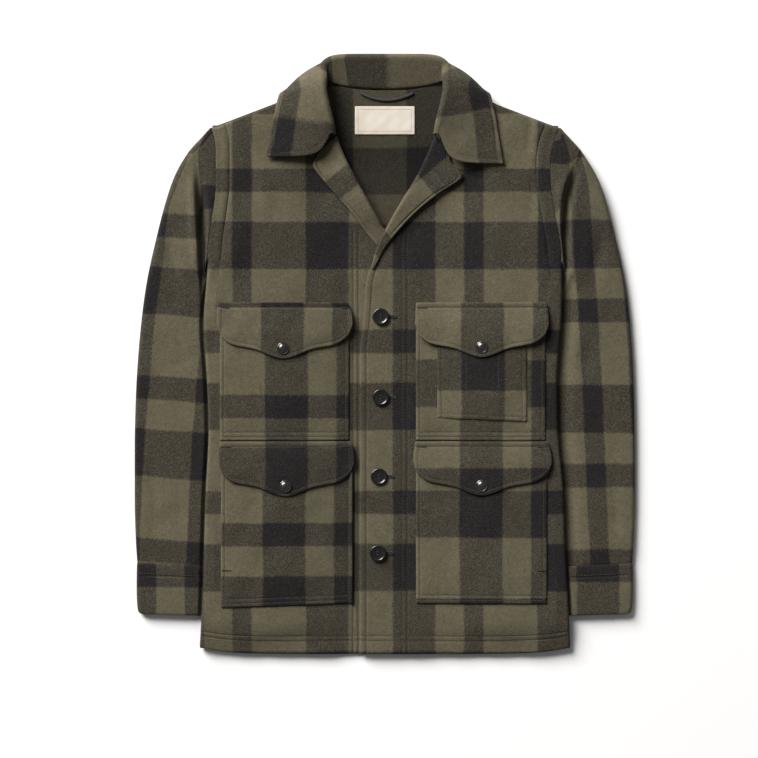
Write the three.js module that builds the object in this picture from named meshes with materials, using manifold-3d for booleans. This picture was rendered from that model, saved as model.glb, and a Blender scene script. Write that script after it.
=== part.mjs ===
// Wool mackinaw jacket, buttoned and laid flat on its back.
// Millimetres. +X is the wearer's left, +Y runs up to the collar, +Z up.
import * as THREE from "three";
import * as BufferGeometryUtils from "three/addons/utils/BufferGeometryUtils.js";
import Module from "manifold-3d";

// Driving dimensions
const CLOTH = 2.6; // wool thickness
const COLLAR_CLOTH = 3; // collar thickness, pressed and stitched
const SEAM = 0.3; // gap between sewn pieces
const HEM_UP = -397; // hem at the centre
const HEM_SIDE_UP = -389; // hem at the side edges
const TIP_UP = 300; // shoulder tip
const TIP_ACROSS = 229; // half width of the shoulders
const NECK_UP = 356; // shoulder at the neck
const NECK_ACROSS = 83; // half width of the neck at the shoulder
const NECK_DIP = 7.3; // how far the back neck seam dips
const BODY_DEPTH = 9.9; // back and front together at the side edge
const EDGE_TURN = 7.2; // length of cloth in a turned edge
const SIDE_RIDE = 6.8; // how high the body sides ride on the sleeves
const NECK_RIDE = 5; // how high the neck rides on the collar leaf
const ARMHOLE_SEAM = 1.3; // gap along the curved armhole seam
const OVERLAP_STEP = 3.5; // how far the under front sinks below the over front
const BUTTON_RADIUS = 11;
const BUTTON_DEPTH = 3.2;
const BUTTON_HOLE = 1.2; // radius of a sewing hole
const SNAP_RADIUS = 8;
const SNAP_DEPTH = 2.6;

// Finishes
const WOOL = { color: 0x4b4836, roughness: 0.95, metalness: 0 };
const LABEL = { color: 0xd8d3c4, roughness: 0.8, metalness: 0 };
const TAPE = { color: 0x1c1b1c, roughness: 0.8, metalness: 0 };
const HORN = { color: 0x17140f, roughness: 0.25, metalness: 0 };
const BRASS = { color: 0x2e2a26, roughness: 0.35, metalness: 0.9 };

// Half width of the body, wearer's right and left, from hem to shoulder tip
const BODY_EDGE = [
  { up: -389, right: 245, left: 245.5 },
  { up: -330, right: 241, left: 242.5 },
  { up: -250, right: 238.6, left: 238.2 },
  { up: -180, right: 236.3, left: 236 },
  { up: -100, right: 232.5, left: 229 },
  { up: -30, right: 235, left: 228 },
  { up: 38, right: 239.5, left: 233 },
  { up: 100, right: 235, left: 234.5 },
  { up: 144, right: 232.5, left: 232 },
  { up: 180, right: 227.5, left: 225 },
  { up: 214, right: 223, left: 219.6 },
  { up: 250, right: 222.8, left: 218.2 },
  { up: 277, right: 223, left: 222 },
  { up: 300, right: 229, left: 231 },
];

// Inner edge of each front: closing edge, roll line and neckline
const UNDER_EDGE = [
  { up: -397, across: 16 },
  { up: 100, across: 16 },
  { up: 130, across: 12 },
  { up: 152, across: 1 },
  { up: 167, across: -9 },
  { up: 198, across: -28 },
  { up: 259, across: -60 },
  { up: 290, across: -72 },
  { up: 310, across: -81 },
  { up: 356, across: -83 },
];
const OVER_EDGE = [
  { up: -397, across: -33 },
  { up: 5, across: -32.7 },
  { up: 45, across: -28 },
  { up: 99, across: -24 },
  { up: 122, across: -16 },
  { up: 145, across: -4 },
  { up: 169, across: 9 },
  { up: 210, across: 35.5 },
  { up: 240, across: 53.5 },
  { up: 292, across: 74 },
  { up: 310, across: 81 },
  { up: 356, across: 83 },
];

// Soft folds pressed into the fronts: ridge centre, direction, reach and height
const BODY_FOLDS = [
  { across: -205, up: 128, turn: 62, long: 60, wide: 15, high: 1.6 },
  { across: 206, up: 140, turn: 118, long: 55, wide: 14, high: 1.4 },
  { across: -120, up: 205, turn: 100, long: 70, wide: 24, high: 1.1 },
  { across: 140, up: 190, turn: 80, long: 80, wide: 26, high: 1.2 },
  { across: -226, up: -130, turn: 95, long: 70, wide: 12, high: -1 },
  { across: 222, up: -60, turn: 88, long: 70, wide: 12, high: -1.2 },
];

// Lapels: a row is a chord from the roll line to the free edge
const RIGHT_LAPEL = [
  { rollX: -2, rollY: 165, edgeX: -22, edgeY: 160, radius: 3.6, wrap: 70, stand: 0.4 },
  { rollX: -9, rollY: 180, edgeX: -42, edgeY: 184, radius: 4.4, wrap: 90, stand: 1.4 },
  { rollX: -22, rollY: 203, edgeX: -66, edgeY: 211, radius: 5, wrap: 90, stand: 2 },
  { rollX: -38, rollY: 232, edgeX: -90, edgeY: 240, radius: 5, wrap: 90, stand: 2.2 },
  { rollX: -52, rollY: 260, edgeX: -95, edgeY: 252, radius: 5, wrap: 80, stand: 1.6 },
  { rollX: -63, rollY: 288, edgeX: -84, edgeY: 270, radius: 4.2, wrap: 60, stand: 0.8 },
];
const LEFT_LAPEL = [
  { rollX: -14.5, rollY: 127, edgeX: -4, edgeY: 124, radius: 2.9, wrap: 5, stand: 0.2 },
  { rollX: -8, rollY: 147, edgeX: 6, edgeY: 147, radius: 3.2, wrap: 10, stand: 0.6 },
  { rollX: 9, rollY: 180, edgeX: 37, edgeY: 183, radius: 4.4, wrap: 70, stand: 1.4 },
  { rollX: 26, rollY: 209, edgeX: 69, edgeY: 210, radius: 5, wrap: 90, stand: 2 },
  { rollX: 42, rollY: 235, edgeX: 103, edgeY: 234, radius: 5, wrap: 90, stand: 2.2 },
  { rollX: 54, rollY: 260, edgeX: 88, edgeY: 252, radius: 5, wrap: 80, stand: 1.6 },
  { rollX: 66.5, rollY: 288, edgeX: 85, edgeY: 268, radius: 4, wrap: 60, stand: 0.8 },
];

// Collar from the centre back to a front end: neck seam, roll crest, bend and
// edge of the leaf, with the way the crest faces (turn), how upright it is (lean)
// and how far round the roll goes (sweep)
const COLLAR_ROLL = 6.4; // radius of the roll
const COLLAR = [
  {
    neck: [0, 349.1, 8], roll: [0, 396.4, 6.5],
    turn: 0, lean: 0, sweep: 180,
    bend: [0, 350, 0.1], edge: [0, 313, 0.1],
  },
  {
    neck: [44, 352.2, 8], roll: [50, 396.2, 6.5],
    turn: 0, lean: 0, sweep: 180,
    bend: [52, 350, 0.1], edge: [54, 313, 0.1],
  },
  {
    neck: [68, 357, 9.4], roll: [73, 392, 9.5],
    turn: 30, lean: 20, sweep: 170,
    bend: [92, 354, 0.4], edge: [90, 318, 0.2],
  },
  {
    neck: [76, 360, 11.5], roll: [84, 381, 18],
    turn: 60, lean: 50, sweep: 140,
    bend: [122, 374, 5], edge: [113, 336, 0.2],
  },
  {
    neck: [77, 355, 13], roll: [83, 363, 29],
    turn: 80, lean: 78, sweep: 120,
    bend: [130, 368, 18], edge: [128, 342, 1.4],
  },
  {
    neck: [76.5, 350, 13.5], roll: [82.5, 353, 31.5],
    turn: 88, lean: 88, sweep: 112,
    bend: [124, 357, 24], edge: [137, 345, 9],
  },
  {
    neck: [75.5, 343, 13.8], roll: [82, 345, 32.4],
    turn: 90, lean: 90, sweep: 110,
    bend: [116, 346, 27], edge: [141, 340, 17],
  },
  {
    neck: [73, 325, 14], roll: [78, 326, 33],
    turn: 90, lean: 90, sweep: 110,
    bend: [108, 326, 26], edge: [146, 315, 21.2],
  },
  {
    neck: [69, 305, 15.5], roll: [73, 306, 30.5],
    turn: 90, lean: 90, sweep: 110,
    bend: [102, 298, 26], edge: [151, 289, 21],
  },
  {
    neck: [65, 288, 17.8], roll: [70, 289, 27],
    turn: 90, lean: 90, sweep: 105,
    bend: [86, 247, 24.5], edge: [157, 259, 21],
  },
];
const LEFT_POINT_DROP = 9; // the wearer's left wing reaches lower

// Sleeves from the armhole to the cuff seam: outer and inner ends of a chord
const SLEEVE = [
  { outX: 230, outY: 299, inX: 235, inY: 118, bow: 1, top: 16.7, floor: 6.8, under: 0 },
  { outX: 242, outY: 286, inX: 236.5, inY: 112, bow: 0.9, top: 18, floor: 4, under: 0.6 },
  { outX: 260, outY: 266, inX: 237.5, inY: 104, bow: 0.7, top: 18.4, floor: 1, under: 1 },
  { outX: 277, outY: 237, inX: 234, inY: 92, bow: 0.45, top: 17.6, floor: 0, under: 1 },
  { outX: 290, outY: 200, inX: 226, inY: 76, bow: 0.2, top: 16, floor: 0, under: 1 },
  { outX: 303, outY: 150, inX: 212, inY: 54, bow: 0, top: 14, floor: 0, under: 1 },
  { outX: 315, outY: 95, inX: 196, inY: 26, bow: 0, top: 12.5, floor: 0, under: 1 },
  { outX: 323, outY: 35, inX: 181, inY: -10, bow: 0, top: 11.6, floor: 0, under: 1 },
  { outX: 328.5, outY: -35, inX: 171, inY: -55, bow: 0, top: 11.2, floor: 0, under: 1 },
  { outX: 331, outY: -115, inX: 168, inY: -125, bow: 0, top: 11, floor: 0, under: 1 },
  { outX: 331, outY: -195, inX: 178, inY: -203, bow: 0, top: 11, floor: 0, under: 1 },
  { outX: 329.5, outY: -245, inX: 196, inY: -252, bow: 0, top: 11, floor: 0, under: 1 },
  { outX: 327.5, outY: -275, inX: 208, inY: -281, bow: 0, top: 10, floor: 0, under: 1 },
];
const CUFF = [
  { outX: 328, outY: -275.6, inX: 208, inY: -281.6, bow: 0, top: 10.4, floor: 0, under: 1 },
  { outX: 328.5, outY: -310, inX: 208, inY: -315, bow: 0, top: 11, floor: 0, under: 1 },
  { outX: 327, outY: -338, inX: 209, inY: -342, bow: 0, top: 10.6, floor: 0, under: 1 },
  { outX: 322, outY: -344, inX: 212, inY: -347, bow: 0, top: 9.4, floor: 0, under: 1 },
];
const LEFT_SLEEVE_FULLER = 3; // extra width of the wearer's left upper sleeve
const UNDER_BODY = 6.2; // height of a sleeve where the body lies on it
const SLEEVE_EDGE = 3.1; // radius of its inner fold

// Creases across the sleeves: place along the sleeve, across it, and size
const SLEEVE_FOLDS = [
  { across: 282, up: 130, turn: 70, long: 55, wide: 10, high: -1.8 },
  { across: 300, up: 40, turn: 20, long: 30, wide: 9, high: 1.4 },
  { across: 285, up: -20, turn: 160, long: 35, wide: 10, high: -1.3 },
  { across: 300, up: -110, turn: 15, long: 32, wide: 11, high: 1.2 },
  { across: 290, up: -215, turn: 165, long: 35, wide: 12, high: -1.2 },
];

// Patch pockets: x runs to the wearer's left
const POCKETS = [
  { name: "pocket_upper_right", from: -217.5, to: -46.5, top: 66, bottom: -114.8, skew: 0 },
  { name: "pocket_upper_left", from: 41, to: 212, top: 66, bottom: -114.8, skew: 0 },
  { name: "pocket_lower_right", from: -216, to: -43.3, top: -117, bottom: -335, skew: 5 },
  { name: "pocket_lower_left", from: 41, to: 214, top: -117, bottom: -330, skew: 0 },
];
const FLAPS = [
  { name: "flap_upper_right", from: -220, to: -47.7, top: 68, point: 75, bulge: 5 },
  { name: "flap_upper_left", from: 41, to: 214, top: 68, point: 73, bulge: 3, overPencil: true },
  { name: "flap_lower_right", from: -217.5, to: -44, top: -115.6, point: 73, bulge: 4 },
  { name: "flap_lower_left", from: 40, to: 215, top: -115.6, point: 72, bulge: 5 },
];
// Share of a flap's width, and how deep its lower edge hangs there
const FLAP_EDGE = [
  { share: 0, deep: 0.5 },
  { share: 0.03, deep: 0.66 },
  { share: 0.11, deep: 0.75 },
  { share: 0.3, deep: 0.83 },
  { share: 0.4, deep: 0.95 },
  { share: 0.5, deep: 1 },
  { share: 0.6, deep: 0.95 },
  { share: 0.7, deep: 0.83 },
  { share: 0.89, deep: 0.75 },
  { share: 0.97, deep: 0.66 },
  { share: 1, deep: 0.5 },
];
const FLAP_STAND = 2.2; // how far a flap's edge stands off its pocket
const PENCIL_POCKET = { from: 69, to: 187.5, top: 30, bottomIn: -85, bottomOut: -90 };
const BUTTONS = [
  { across: -5.3, up: 49.4 },
  { across: -5.3, up: -57.2 },
  { across: -7.6, up: -162 },
  { across: -8.9, up: -263 },
];
const NECK_LABEL = { from: -39.5, to: 39.7, top: 327.5, bottom: 290, thick: 0.9 };
const LOOP = { from: -32, to: 38, top: 345.5, sag: 10, wide: 4.4, thick: 2.2 };

// Helpers
const radians = THREE.MathUtils.degToRad;
const mix = THREE.MathUtils.lerp;
const smooth = (x, from, to) => THREE.MathUtils.smoothstep(x, from, to);

/** Value of a table's column at a key, rounded through its rows. */
function along(table, key, column, value) {
  const last = table.length - 1;
  const at = (i) => table[Math.min(Math.max(i, 0), last)];
  let i = 0;
  while (i < last - 1 && value > table[i + 1][key]) i++;
  const a = at(i);
  const b = at(i + 1);
  const span = b[key] - a[key];
  const t = THREE.MathUtils.clamp((value - a[key]) / span, 0, 1);
  const slope = (p, q) => ((q[column] - p[column]) / Math.max(q[key] - p[key], 1e-6)) * span;
  const chord = b[column] - a[column];
  const limit = (m) => (m * chord <= 0 ? 0 : Math.sign(chord) * Math.min(Math.abs(m), 3 * Math.abs(chord)));
  const enter = limit(i > 0 ? slope(at(i - 1), b) : chord);
  const leave = limit(i + 2 <= last ? slope(a, at(i + 2)) : chord);
  const t2 = t * t;
  const t3 = t2 * t;
  return (
    (2 * t3 - 3 * t2 + 1) * a[column] +
    (t3 - 2 * t2 + t) * enter +
    (3 * t2 - 2 * t3) * b[column] +
    (t3 - t2) * leave
  );
}

/** Height added by a table of folds at a place. */
function foldHeight(folds, x, y) {
  let high = 0;
  for (const fold of folds) {
    const c = Math.cos(radians(fold.turn));
    const s = Math.sin(radians(fold.turn));
    const dx = x - fold.across;
    const dy = y - fold.up;
    const p = (dx * c + dy * s) / fold.long;
    const q = (dy * c - dx * s) / fold.wide;
    high += fold.high * Math.exp(-p * p - q * q);
  }
  return high;
}

/** Closed shell between two grids of points; a ring's rows close on themselves. */
function shell(outerGrid, innerGrid, ring) {
  const rows = outerGrid.length;
  const cols = outerGrid[0].length;
  const points = [];
  for (const grid of [outerGrid, innerGrid])
    for (const row of grid) for (const p of row) points.push(p.x, p.y, p.z);
  const outer = (i, j) => i * cols + (j % cols);
  const inner = (i, j) => rows * cols + outer(i, j);
  const faces = [];
  const quad = (a, b, c, d) => faces.push(a, b, c, a, c, d);
  const lastCol = ring ? cols : cols - 1;
  for (let i = 0; i < rows - 1; i++)
    for (let j = 0; j < lastCol; j++) {
      quad(outer(i, j), outer(i, j + 1), outer(i + 1, j + 1), outer(i + 1, j));
      quad(inner(i, j), inner(i + 1, j), inner(i + 1, j + 1), inner(i, j + 1));
    }
  for (let j = 0; j < lastCol; j++) {
    quad(outer(0, j), inner(0, j), inner(0, j + 1), outer(0, j + 1));
    quad(outer(rows - 1, j), outer(rows - 1, j + 1), inner(rows - 1, j + 1), inner(rows - 1, j));
  }
  if (!ring)
    for (let i = 0; i < rows - 1; i++) {
      quad(outer(i, 0), outer(i + 1, 0), inner(i + 1, 0), inner(i, 0));
      quad(outer(i, cols - 1), inner(i, cols - 1), inner(i + 1, cols - 1), outer(i + 1, cols - 1));
    }
  const corner = (k) => new THREE.Vector3().fromArray(points, 3 * faces[k]);
  let volume = 0;
  for (let k = 0; k < faces.length; k += 3) volume += corner(k).dot(corner(k + 1).cross(corner(k + 2)));
  if (volume < 0) faces.reverse();
  const geometry = new THREE.BufferGeometry();
  geometry.setAttribute("position", new THREE.Float32BufferAttribute(points, 3));
  geometry.setIndex(faces);
  return geometry;
}

/** Wall of a given thickness behind a grid, its far ends exact where an edge is turned. */
function wall(grid, thickness, outward, { turned = false, straight = false } = {}) {
  const rows = grid.length;
  const cols = grid[0].length;
  // Direction of a grid line at its point k of many
  const run = (at, k, many) => {
    const step = k === 0 ? 1 : -1;
    if (k > 0 && k < many - 1) return at(k + 1).clone().sub(at(k - 1));
    if (!turned) return at(k + step).clone().sub(at(k)).multiplyScalar(step);
    const end = at(k + step).clone().multiplyScalar(4).addScaledVector(at(k), -3);
    return end.sub(at(k + 2 * step)).multiplyScalar(step);
  };
  const normals = grid.map((row, i) =>
    row.map((_, j) => run((k) => grid[i][k], j, cols).cross(run((k) => grid[k][j], i, rows)).normalize()),
  );
  const agree = normals.reduce((sum, row) => sum + row[0].dot(outward), 0);
  const innerGrid = grid.map((row, i) =>
    row.map((p, j) => {
      const out = straight ? outward : normals[i][j].clone().multiplyScalar(Math.sign(agree));
      return p.clone().addScaledVector(out, -thickness);
    }),
  );
  return shell(grid, innerGrid, false);
}

/** A turned edge: how far it has run out and dropped after a length of cloth. */
function turnedEdge(length, angle) {
  if (angle < 0.01) return { out: length, drop: 0 };
  const radius = EDGE_TURN / angle;
  const swung = (angle * length) / EDGE_TURN;
  return { out: radius * Math.sin(swung), drop: radius * (1 - Math.cos(swung)) };
}

// Heights that the body's pieces share
const UP = new THREE.Vector3(0, 0, 1);
const sideName = (side) => (side < 0 ? "right" : "left");
const bodyEdge = (side, y) => along(BODY_EDGE, "up", sideName(side), y);
/** Underside of the back: on the table, riding on the sleeves and the collar leaf. */
function backUnder(x, y) {
  const sides = smooth(Math.abs(x), 50, 162) * smooth(y, HEM_UP, -352);
  const neck = smooth(y, 236, 300);
  return SIDE_RIDE * sides + NECK_RIDE * neck * (1 - sides);
}
/** Upper face of the front that lies on top. */
function frontTop(x, y) {
  const away = Math.min(Math.abs(Math.abs(x) - bodyEdge(Math.sign(x) || 1, y)), 40);
  const inland = smooth(away, 4, 34) * (1 - smooth(y, 270, 300));
  const settle = -1.5 * smooth(Math.abs(x), 40, 85) * (1 - smooth(Math.abs(x), 170, 222));
  return backUnder(x, y) + BODY_DEPTH + (settle + foldHeight(BODY_FOLDS, x, y)) * inland;
}
/** Upper face of the front that lies underneath, sunk below the overlap. */
function underTop(x, y) {
  return frontTop(x, y) - OVERLAP_STEP * smooth(x, -78, -44) * (1 - smooth(y, 150, 190));
}
const edgeAngle = (y) => radians(90) * (1 - smooth(y, 96, 138));

/** Keeps the hem straight nearly to the side, where it curves up. */
const hemCurve = (s, t) => (HEM_SIDE_UP - HEM_UP) * (s ** 8 - s) * (1 - t) ** 3;

const PANEL_COLUMNS = 10;
const PANEL_ROWS = 22;
const EDGE_STEPS = [1 / 3, 2 / 3, 1];

/** One front: chords from its inner edge to the side, both far edges turned down. */
function frontPanel(side, edge, height) {
  const grid = [];
  const rows = [];
  for (let i = 0; i <= PANEL_ROWS; i++) rows.push({ t: i / PANEL_ROWS, length: 0 });
  for (const step of EDGE_STEPS) rows.push({ t: 1, length: step * EDGE_TURN });
  const inset = turnedEdge(EDGE_TURN, radians(90)).out;
  for (const { t, length } of rows) {
    const innerY = mix(HEM_UP, NECK_UP - inset, t);
    const outerY = mix(HEM_SIDE_UP, TIP_UP - inset, t);
    const innerX = along(edge, "up", "across", innerY);
    const angle = edgeAngle(outerY);
    const run = turnedEdge(EDGE_TURN, angle).out;
    const startX = side * (bodyEdge(side, outerY) - run);
    const over = turnedEdge(length, radians(90));
    const row = [];
    for (let j = 0; j <= PANEL_COLUMNS; j++) {
      const s = j / PANEL_COLUMNS;
      const x = mix(innerX, startX, s);
      const y = mix(innerY, outerY, s) + hemCurve(s, t);
      row.push(new THREE.Vector3(x, y, height(x, y)));
    }
    const last = row[PANEL_COLUMNS];
    for (const step of EDGE_STEPS) {
      const turn = turnedEdge(step * EDGE_TURN, angle);
      row.push(new THREE.Vector3(last.x + side * turn.out, last.y, last.z - turn.drop));
    }
    for (const p of row) {
      p.y += over.out;
      p.z -= over.drop;
    }
    grid.push(row);
  }
  return wall(grid, CLOTH, UP, { turned: true });
}

/** The back: from the table side, its side and shoulder edges turned up. */
function backPanel() {
  const COLUMNS = 18;
  const ROWS = 21;
  const grid = [];
  const inset = turnedEdge(EDGE_TURN, radians(90)).out;
  const slope = (NECK_UP - TIP_UP) / (TIP_ACROSS - NECK_ACROSS);
  const topUp = (x) => {
    const a = Math.abs(x);
    if (a > NECK_ACROSS) return NECK_UP - (a - NECK_ACROSS) * slope;
    return NECK_UP - NECK_DIP * (1 - smooth(a, 20, NECK_ACROSS));
  };
  const rows = [];
  for (let i = 0; i <= ROWS; i++) rows.push({ t: i / ROWS, length: 0 });
  for (const step of EDGE_STEPS) rows.push({ t: 1, length: step * EDGE_TURN });
  for (const { t, length } of rows) {
    const row = [];
    const ends = [-1, 1].map((side) => {
      const y = mix(HEM_SIDE_UP, TIP_UP - inset, t);
      const angle = edgeAngle(y);
      const x = side * (bodyEdge(side, y) - turnedEdge(EDGE_TURN, angle).out);
      return { side, y, angle, x };
    });
    const place = (s) => {
      const x = mix(ends[0].x, ends[1].x, s);
      const shoulders = smooth(Math.abs(x), NECK_ACROSS, NECK_ACROSS + 10);
      const hem = mix(HEM_UP, HEM_SIDE_UP, Math.abs(2 * s - 1) ** 8);
      const y = mix(hem, topUp(x) - mix(EDGE_TURN, inset, shoulders), t);
      const over = turnedEdge(length, radians(90) * shoulders);
      return new THREE.Vector3(x, y + over.out, backUnder(x, y) + over.drop);
    };
    const edgePoints = (end, s) =>
      EDGE_STEPS.map((step) => {
        const turn = turnedEdge(step * EDGE_TURN, end.angle);
        const p = place(s);
        return new THREE.Vector3(p.x + end.side * turn.out, p.y, p.z + turn.drop);
      });
    row.push(...edgePoints(ends[0], 0).reverse());
    for (let j = 0; j <= COLUMNS; j++) row.push(place(j / COLUMNS));
    row.push(...edgePoints(ends[1], 1));
    grid.push(row);
  }
  return wall(grid, CLOTH, UP.clone().negate(), { turned: true });
}

/** A lapel facing: round the roll line, then lying on its front. */
function lapel(side, table, height) {
  const ROWS = 11;
  const ARC = 5;
  const TOP = 4;
  const rows = table.map((row, i) => ({ ...row, i }));
  const grid = [];
  for (let k = 0; k <= ROWS; k++) {
    const i = (k / ROWS) * (table.length - 1);
    const get = (column) => along(rows, "i", column, i);
    const roll = new THREE.Vector2(get("rollX"), get("rollY"));
    const edge = new THREE.Vector2(get("edgeX"), get("edgeY"));
    const out = edge.clone().sub(roll);
    const width = out.length();
    out.normalize();
    const radius = get("radius");
    const wrap = radians(get("wrap"));
    const base = (d) => height(roll.x + out.x * d, roll.y + out.y * d);
    const crest = base(radius) + SEAM + 0.1 + CLOTH + get("stand") + 0.6;
    const centre = crest - radius;
    const row = [];
    for (let a = 0; a <= ARC; a++) {
      const angle = mix(-wrap, radians(90), a / ARC);
      const d = radius - radius * Math.cos(angle);
      row.push(new THREE.Vector3(roll.x + out.x * d, roll.y + out.y * d, centre + radius * Math.sin(angle)));
    }
    for (let b = 1; b <= TOP; b++) {
      const share = b / TOP;
      const d = mix(radius, width, share);
      const z = base(d) + SEAM + 0.1 + CLOTH + get("stand") + 0.6 * (1 - share);
      row.push(new THREE.Vector3(roll.x + out.x * d, roll.y + out.y * d, z));
    }
    grid.push(row);
  }
  return wall(grid, CLOTH, new THREE.Vector3(-side, 0, -0.4));
}

/** The collar, from one front end round the back neck to the other. */
function collarBand() {
  const HALF = 15;
  const STAND = 3;
  const ARC = 5;
  const LEAF = 5;
  const grid = [];
  const flat = COLLAR.map((row, i) => {
    const entry = { i, turn: row.turn, lean: row.lean, sweep: row.sweep };
    for (const part of ["neck", "roll", "bend", "edge"])
      ["X", "Y", "Z"].forEach((axis, k) => (entry[part + axis] = row[part][k]));
    return entry;
  });
  for (let k = -HALF; k <= HALF; k++) {
    const side = Math.sign(k) || 1;
    const i = (Math.abs(k) / HALF) * (COLLAR.length - 1);
    const drop = side > 0 ? LEFT_POINT_DROP * smooth(i, COLLAR.length - 3, COLLAR.length - 1) : 0;
    const point = (part) =>
      new THREE.Vector3(
        side * along(flat, "i", part + "X", i),
        along(flat, "i", part + "Y", i) - (part === "edge" || part === "bend" ? drop : 0),
        along(flat, "i", part + "Z", i),
      );
    const turn = radians(along(flat, "i", "turn", i));
    const lean = radians(along(flat, "i", "lean", i));
    const away = new THREE.Vector3(side * Math.sin(turn), Math.cos(turn), 0);
    const crest = away.clone().multiplyScalar(Math.cos(lean)).addScaledVector(UP, Math.sin(lean));
    const within = UP.clone().multiplyScalar(Math.cos(lean)).addScaledVector(away, -Math.sin(lean));
    const centre = point("roll").addScaledVector(crest, -COLLAR_ROLL);
    const onRoll = (angle) =>
      centre
        .clone()
        .addScaledVector(within, COLLAR_ROLL * Math.cos(angle))
        .addScaledVector(crest, COLLAR_ROLL * Math.sin(angle));
    const row = [];
    const start = onRoll(0);
    for (let a = 0; a < STAND; a++) row.push(point("neck").lerp(start, a / STAND));
    const sweep = radians(along(flat, "i", "sweep", i));
    for (let a = 0; a <= ARC; a++) row.push(onRoll((sweep * a) / ARC));
    const leaf = new THREE.QuadraticBezierCurve3(onRoll(sweep), point("bend"), point("edge"));
    for (let a = 1; a <= LEAF; a++) row.push(leaf.getPoint(a / LEAF));
    grid.push(row);
  }
  return wall(grid, COLLAR_CLOTH, UP);
}

/** Rings of a sleeve or cuff: flattened, and flatter where the body lies on it. */
function sleeveTube(side, table, rowCount) {
  const ARC = 4;
  const FLAT = 7;
  const rows = table.map((row, i) => ({ ...row, i }));
  const outerGrid = [];
  const innerGrid = [];
  const armhole = (share) => {
    const y = mix(table[0].outY, table[0].inY, share);
    return new THREE.Vector2(side * (bodyEdge(side, y) + ARMHOLE_SEAM), y);
  };
  for (let k = 0; k <= rowCount; k++) {
    const i = (k / rowCount) * (table.length - 1);
    const get = (column) => along(rows, "i", column, i);
    const fuller = side > 0 && table === SLEEVE ? LEFT_SLEEVE_FULLER * smooth(i, 2, 4) * (1 - smooth(i, 6, 9)) : 0;
    const outer = new THREE.Vector2(side * (get("outX") + fuller), get("outY"));
    const inner = new THREE.Vector2(side * get("inX"), get("inY"));
    const width = outer.distanceTo(inner);
    const bow = get("bow");
    const plan = (d) => {
      const share = d / width;
      const chord = outer.clone().lerp(inner, share);
      const first = new THREE.Vector2(mix(table[0].outX, table[0].inX, share) * side, armhole(share).y);
      return chord.addScaledVector(armhole(share).sub(first), bow);
    };
    const floor = get("floor");
    const under = get("under");
    const folds = smooth(i, 3, 5) * (table === SLEEVE ? 1 : 0);
    const ceiling = (p) => {
      const clear = Math.abs(p.x) - bodyEdge(side, p.y);
      return mix(UNDER_BODY, get("top"), smooth(clear, 7, 28));
    };
    const topAt = (d) => {
      const p = plan(d);
      const relief = foldHeight(SLEEVE_FOLDS, Math.abs(p.x), p.y) * folds * smooth(d, 6, 26);
      return mix(get("top"), Math.min(get("top") + relief, ceiling(p)), under);
    };
    const outRadius = (topAt(12) - floor) / 2;
    const inRadius = mix((get("top") - floor) / 2, SLEEVE_EDGE, under);
    const ringOf = (inset) => {
      const row = [];
      const push = (d, z) => {
        const p = plan(d);
        row.push(new THREE.Vector3(p.x, p.y, z));
      };
      const fold = (radius, from, place) => {
        for (let a = 0; a <= ARC; a++) {
          const angle = radians(mix(from, -from, a / ARC));
          const swing = (radius - inset) * Math.cos(angle);
          push(place(radius - swing), floor + radius + (radius - inset) * Math.sin(angle));
        }
      };
      fold(outRadius, -90, (d) => d);
      for (let a = 1; a < FLAT; a++) {
        const d = mix(outRadius, width - inRadius, a / FLAT);
        push(d, Math.max(topAt(d), floor + 2 * CLOTH + 0.8) - inset);
      }
      fold(inRadius, 90, (d) => width - d);
      for (let a = 1; a < FLAT; a++) push(mix(width - inRadius, outRadius, a / FLAT), floor + inset);
      return row;
    };
    outerGrid.push(ringOf(0));
    innerGrid.push(ringOf(CLOTH));
  }
  return shell(outerGrid, innerGrid, true);
}

/** A patch that lies on a front, its points the panel's moved up. */
function patch(columns, rows, place, lift) {
  const grid = [];
  for (let i = 0; i <= rows; i++) {
    const row = [];
    for (let j = 0; j <= columns; j++) {
      const { x, y, extra = 0 } = place(j / columns, i / rows);
      const panel = x < 0 ? underTop : frontTop;
      row.push(new THREE.Vector3(x, y, panel(x, y) + lift + extra));
    }
    grid.push(row);
  }
  return wall(grid, CLOTH, UP, { straight: true });
}
const ON_PANEL = CLOTH + 2 * SEAM;
const ON_POCKET = 2 * ON_PANEL;

function pocket({ from, to, top, bottom, skew }) {
  return patch(7, 6, (s, t) => ({ x: mix(from, to, s), y: mix(top, bottom + skew * s, t) }), ON_PANEL);
}

function pencilPocket() {
  const { from, to, top, bottomIn, bottomOut } = PENCIL_POCKET;
  return patch(5, 4, (s, t) => ({ x: mix(from, to, s), y: mix(top, mix(bottomIn, bottomOut, s), t) }), ON_POCKET);
}

/** How far a flap lies over its front, a share of the way down to its point. */
function flapLift(row, share) {
  const pencil = row.overPencil ? ON_PANEL * smooth(share, 0.05, 0.45) : 0;
  return ON_POCKET + pencil + FLAP_STAND * smooth(share, 0.1, 0.8);
}
function flap(row) {
  const { from, to, top, point, bulge } = row;
  const place = (s, t) => {
    const deep = point * along(FLAP_EDGE, "share", "deep", s) * t;
    const sides = bulge * (2 * s - 1) * Math.abs(2 * s - 1) ** 3 * Math.sin(Math.PI * Math.min(t * 0.9, 1));
    return { x: mix(from, to, s) + sides, y: top - deep, extra: flapLift(row, deep / point) };
  };
  return patch(12, 4, place, 0);
}

/** Turned profile, from points of radius and height. */
function turned(profile, segments) {
  const lathe = new THREE.LatheGeometry(profile.map(([r, z]) => new THREE.Vector2(r, z)), segments);
  lathe.rotateX(Math.PI / 2);
  return lathe;
}

const wasm = await Module();
wasm.setup();
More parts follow.
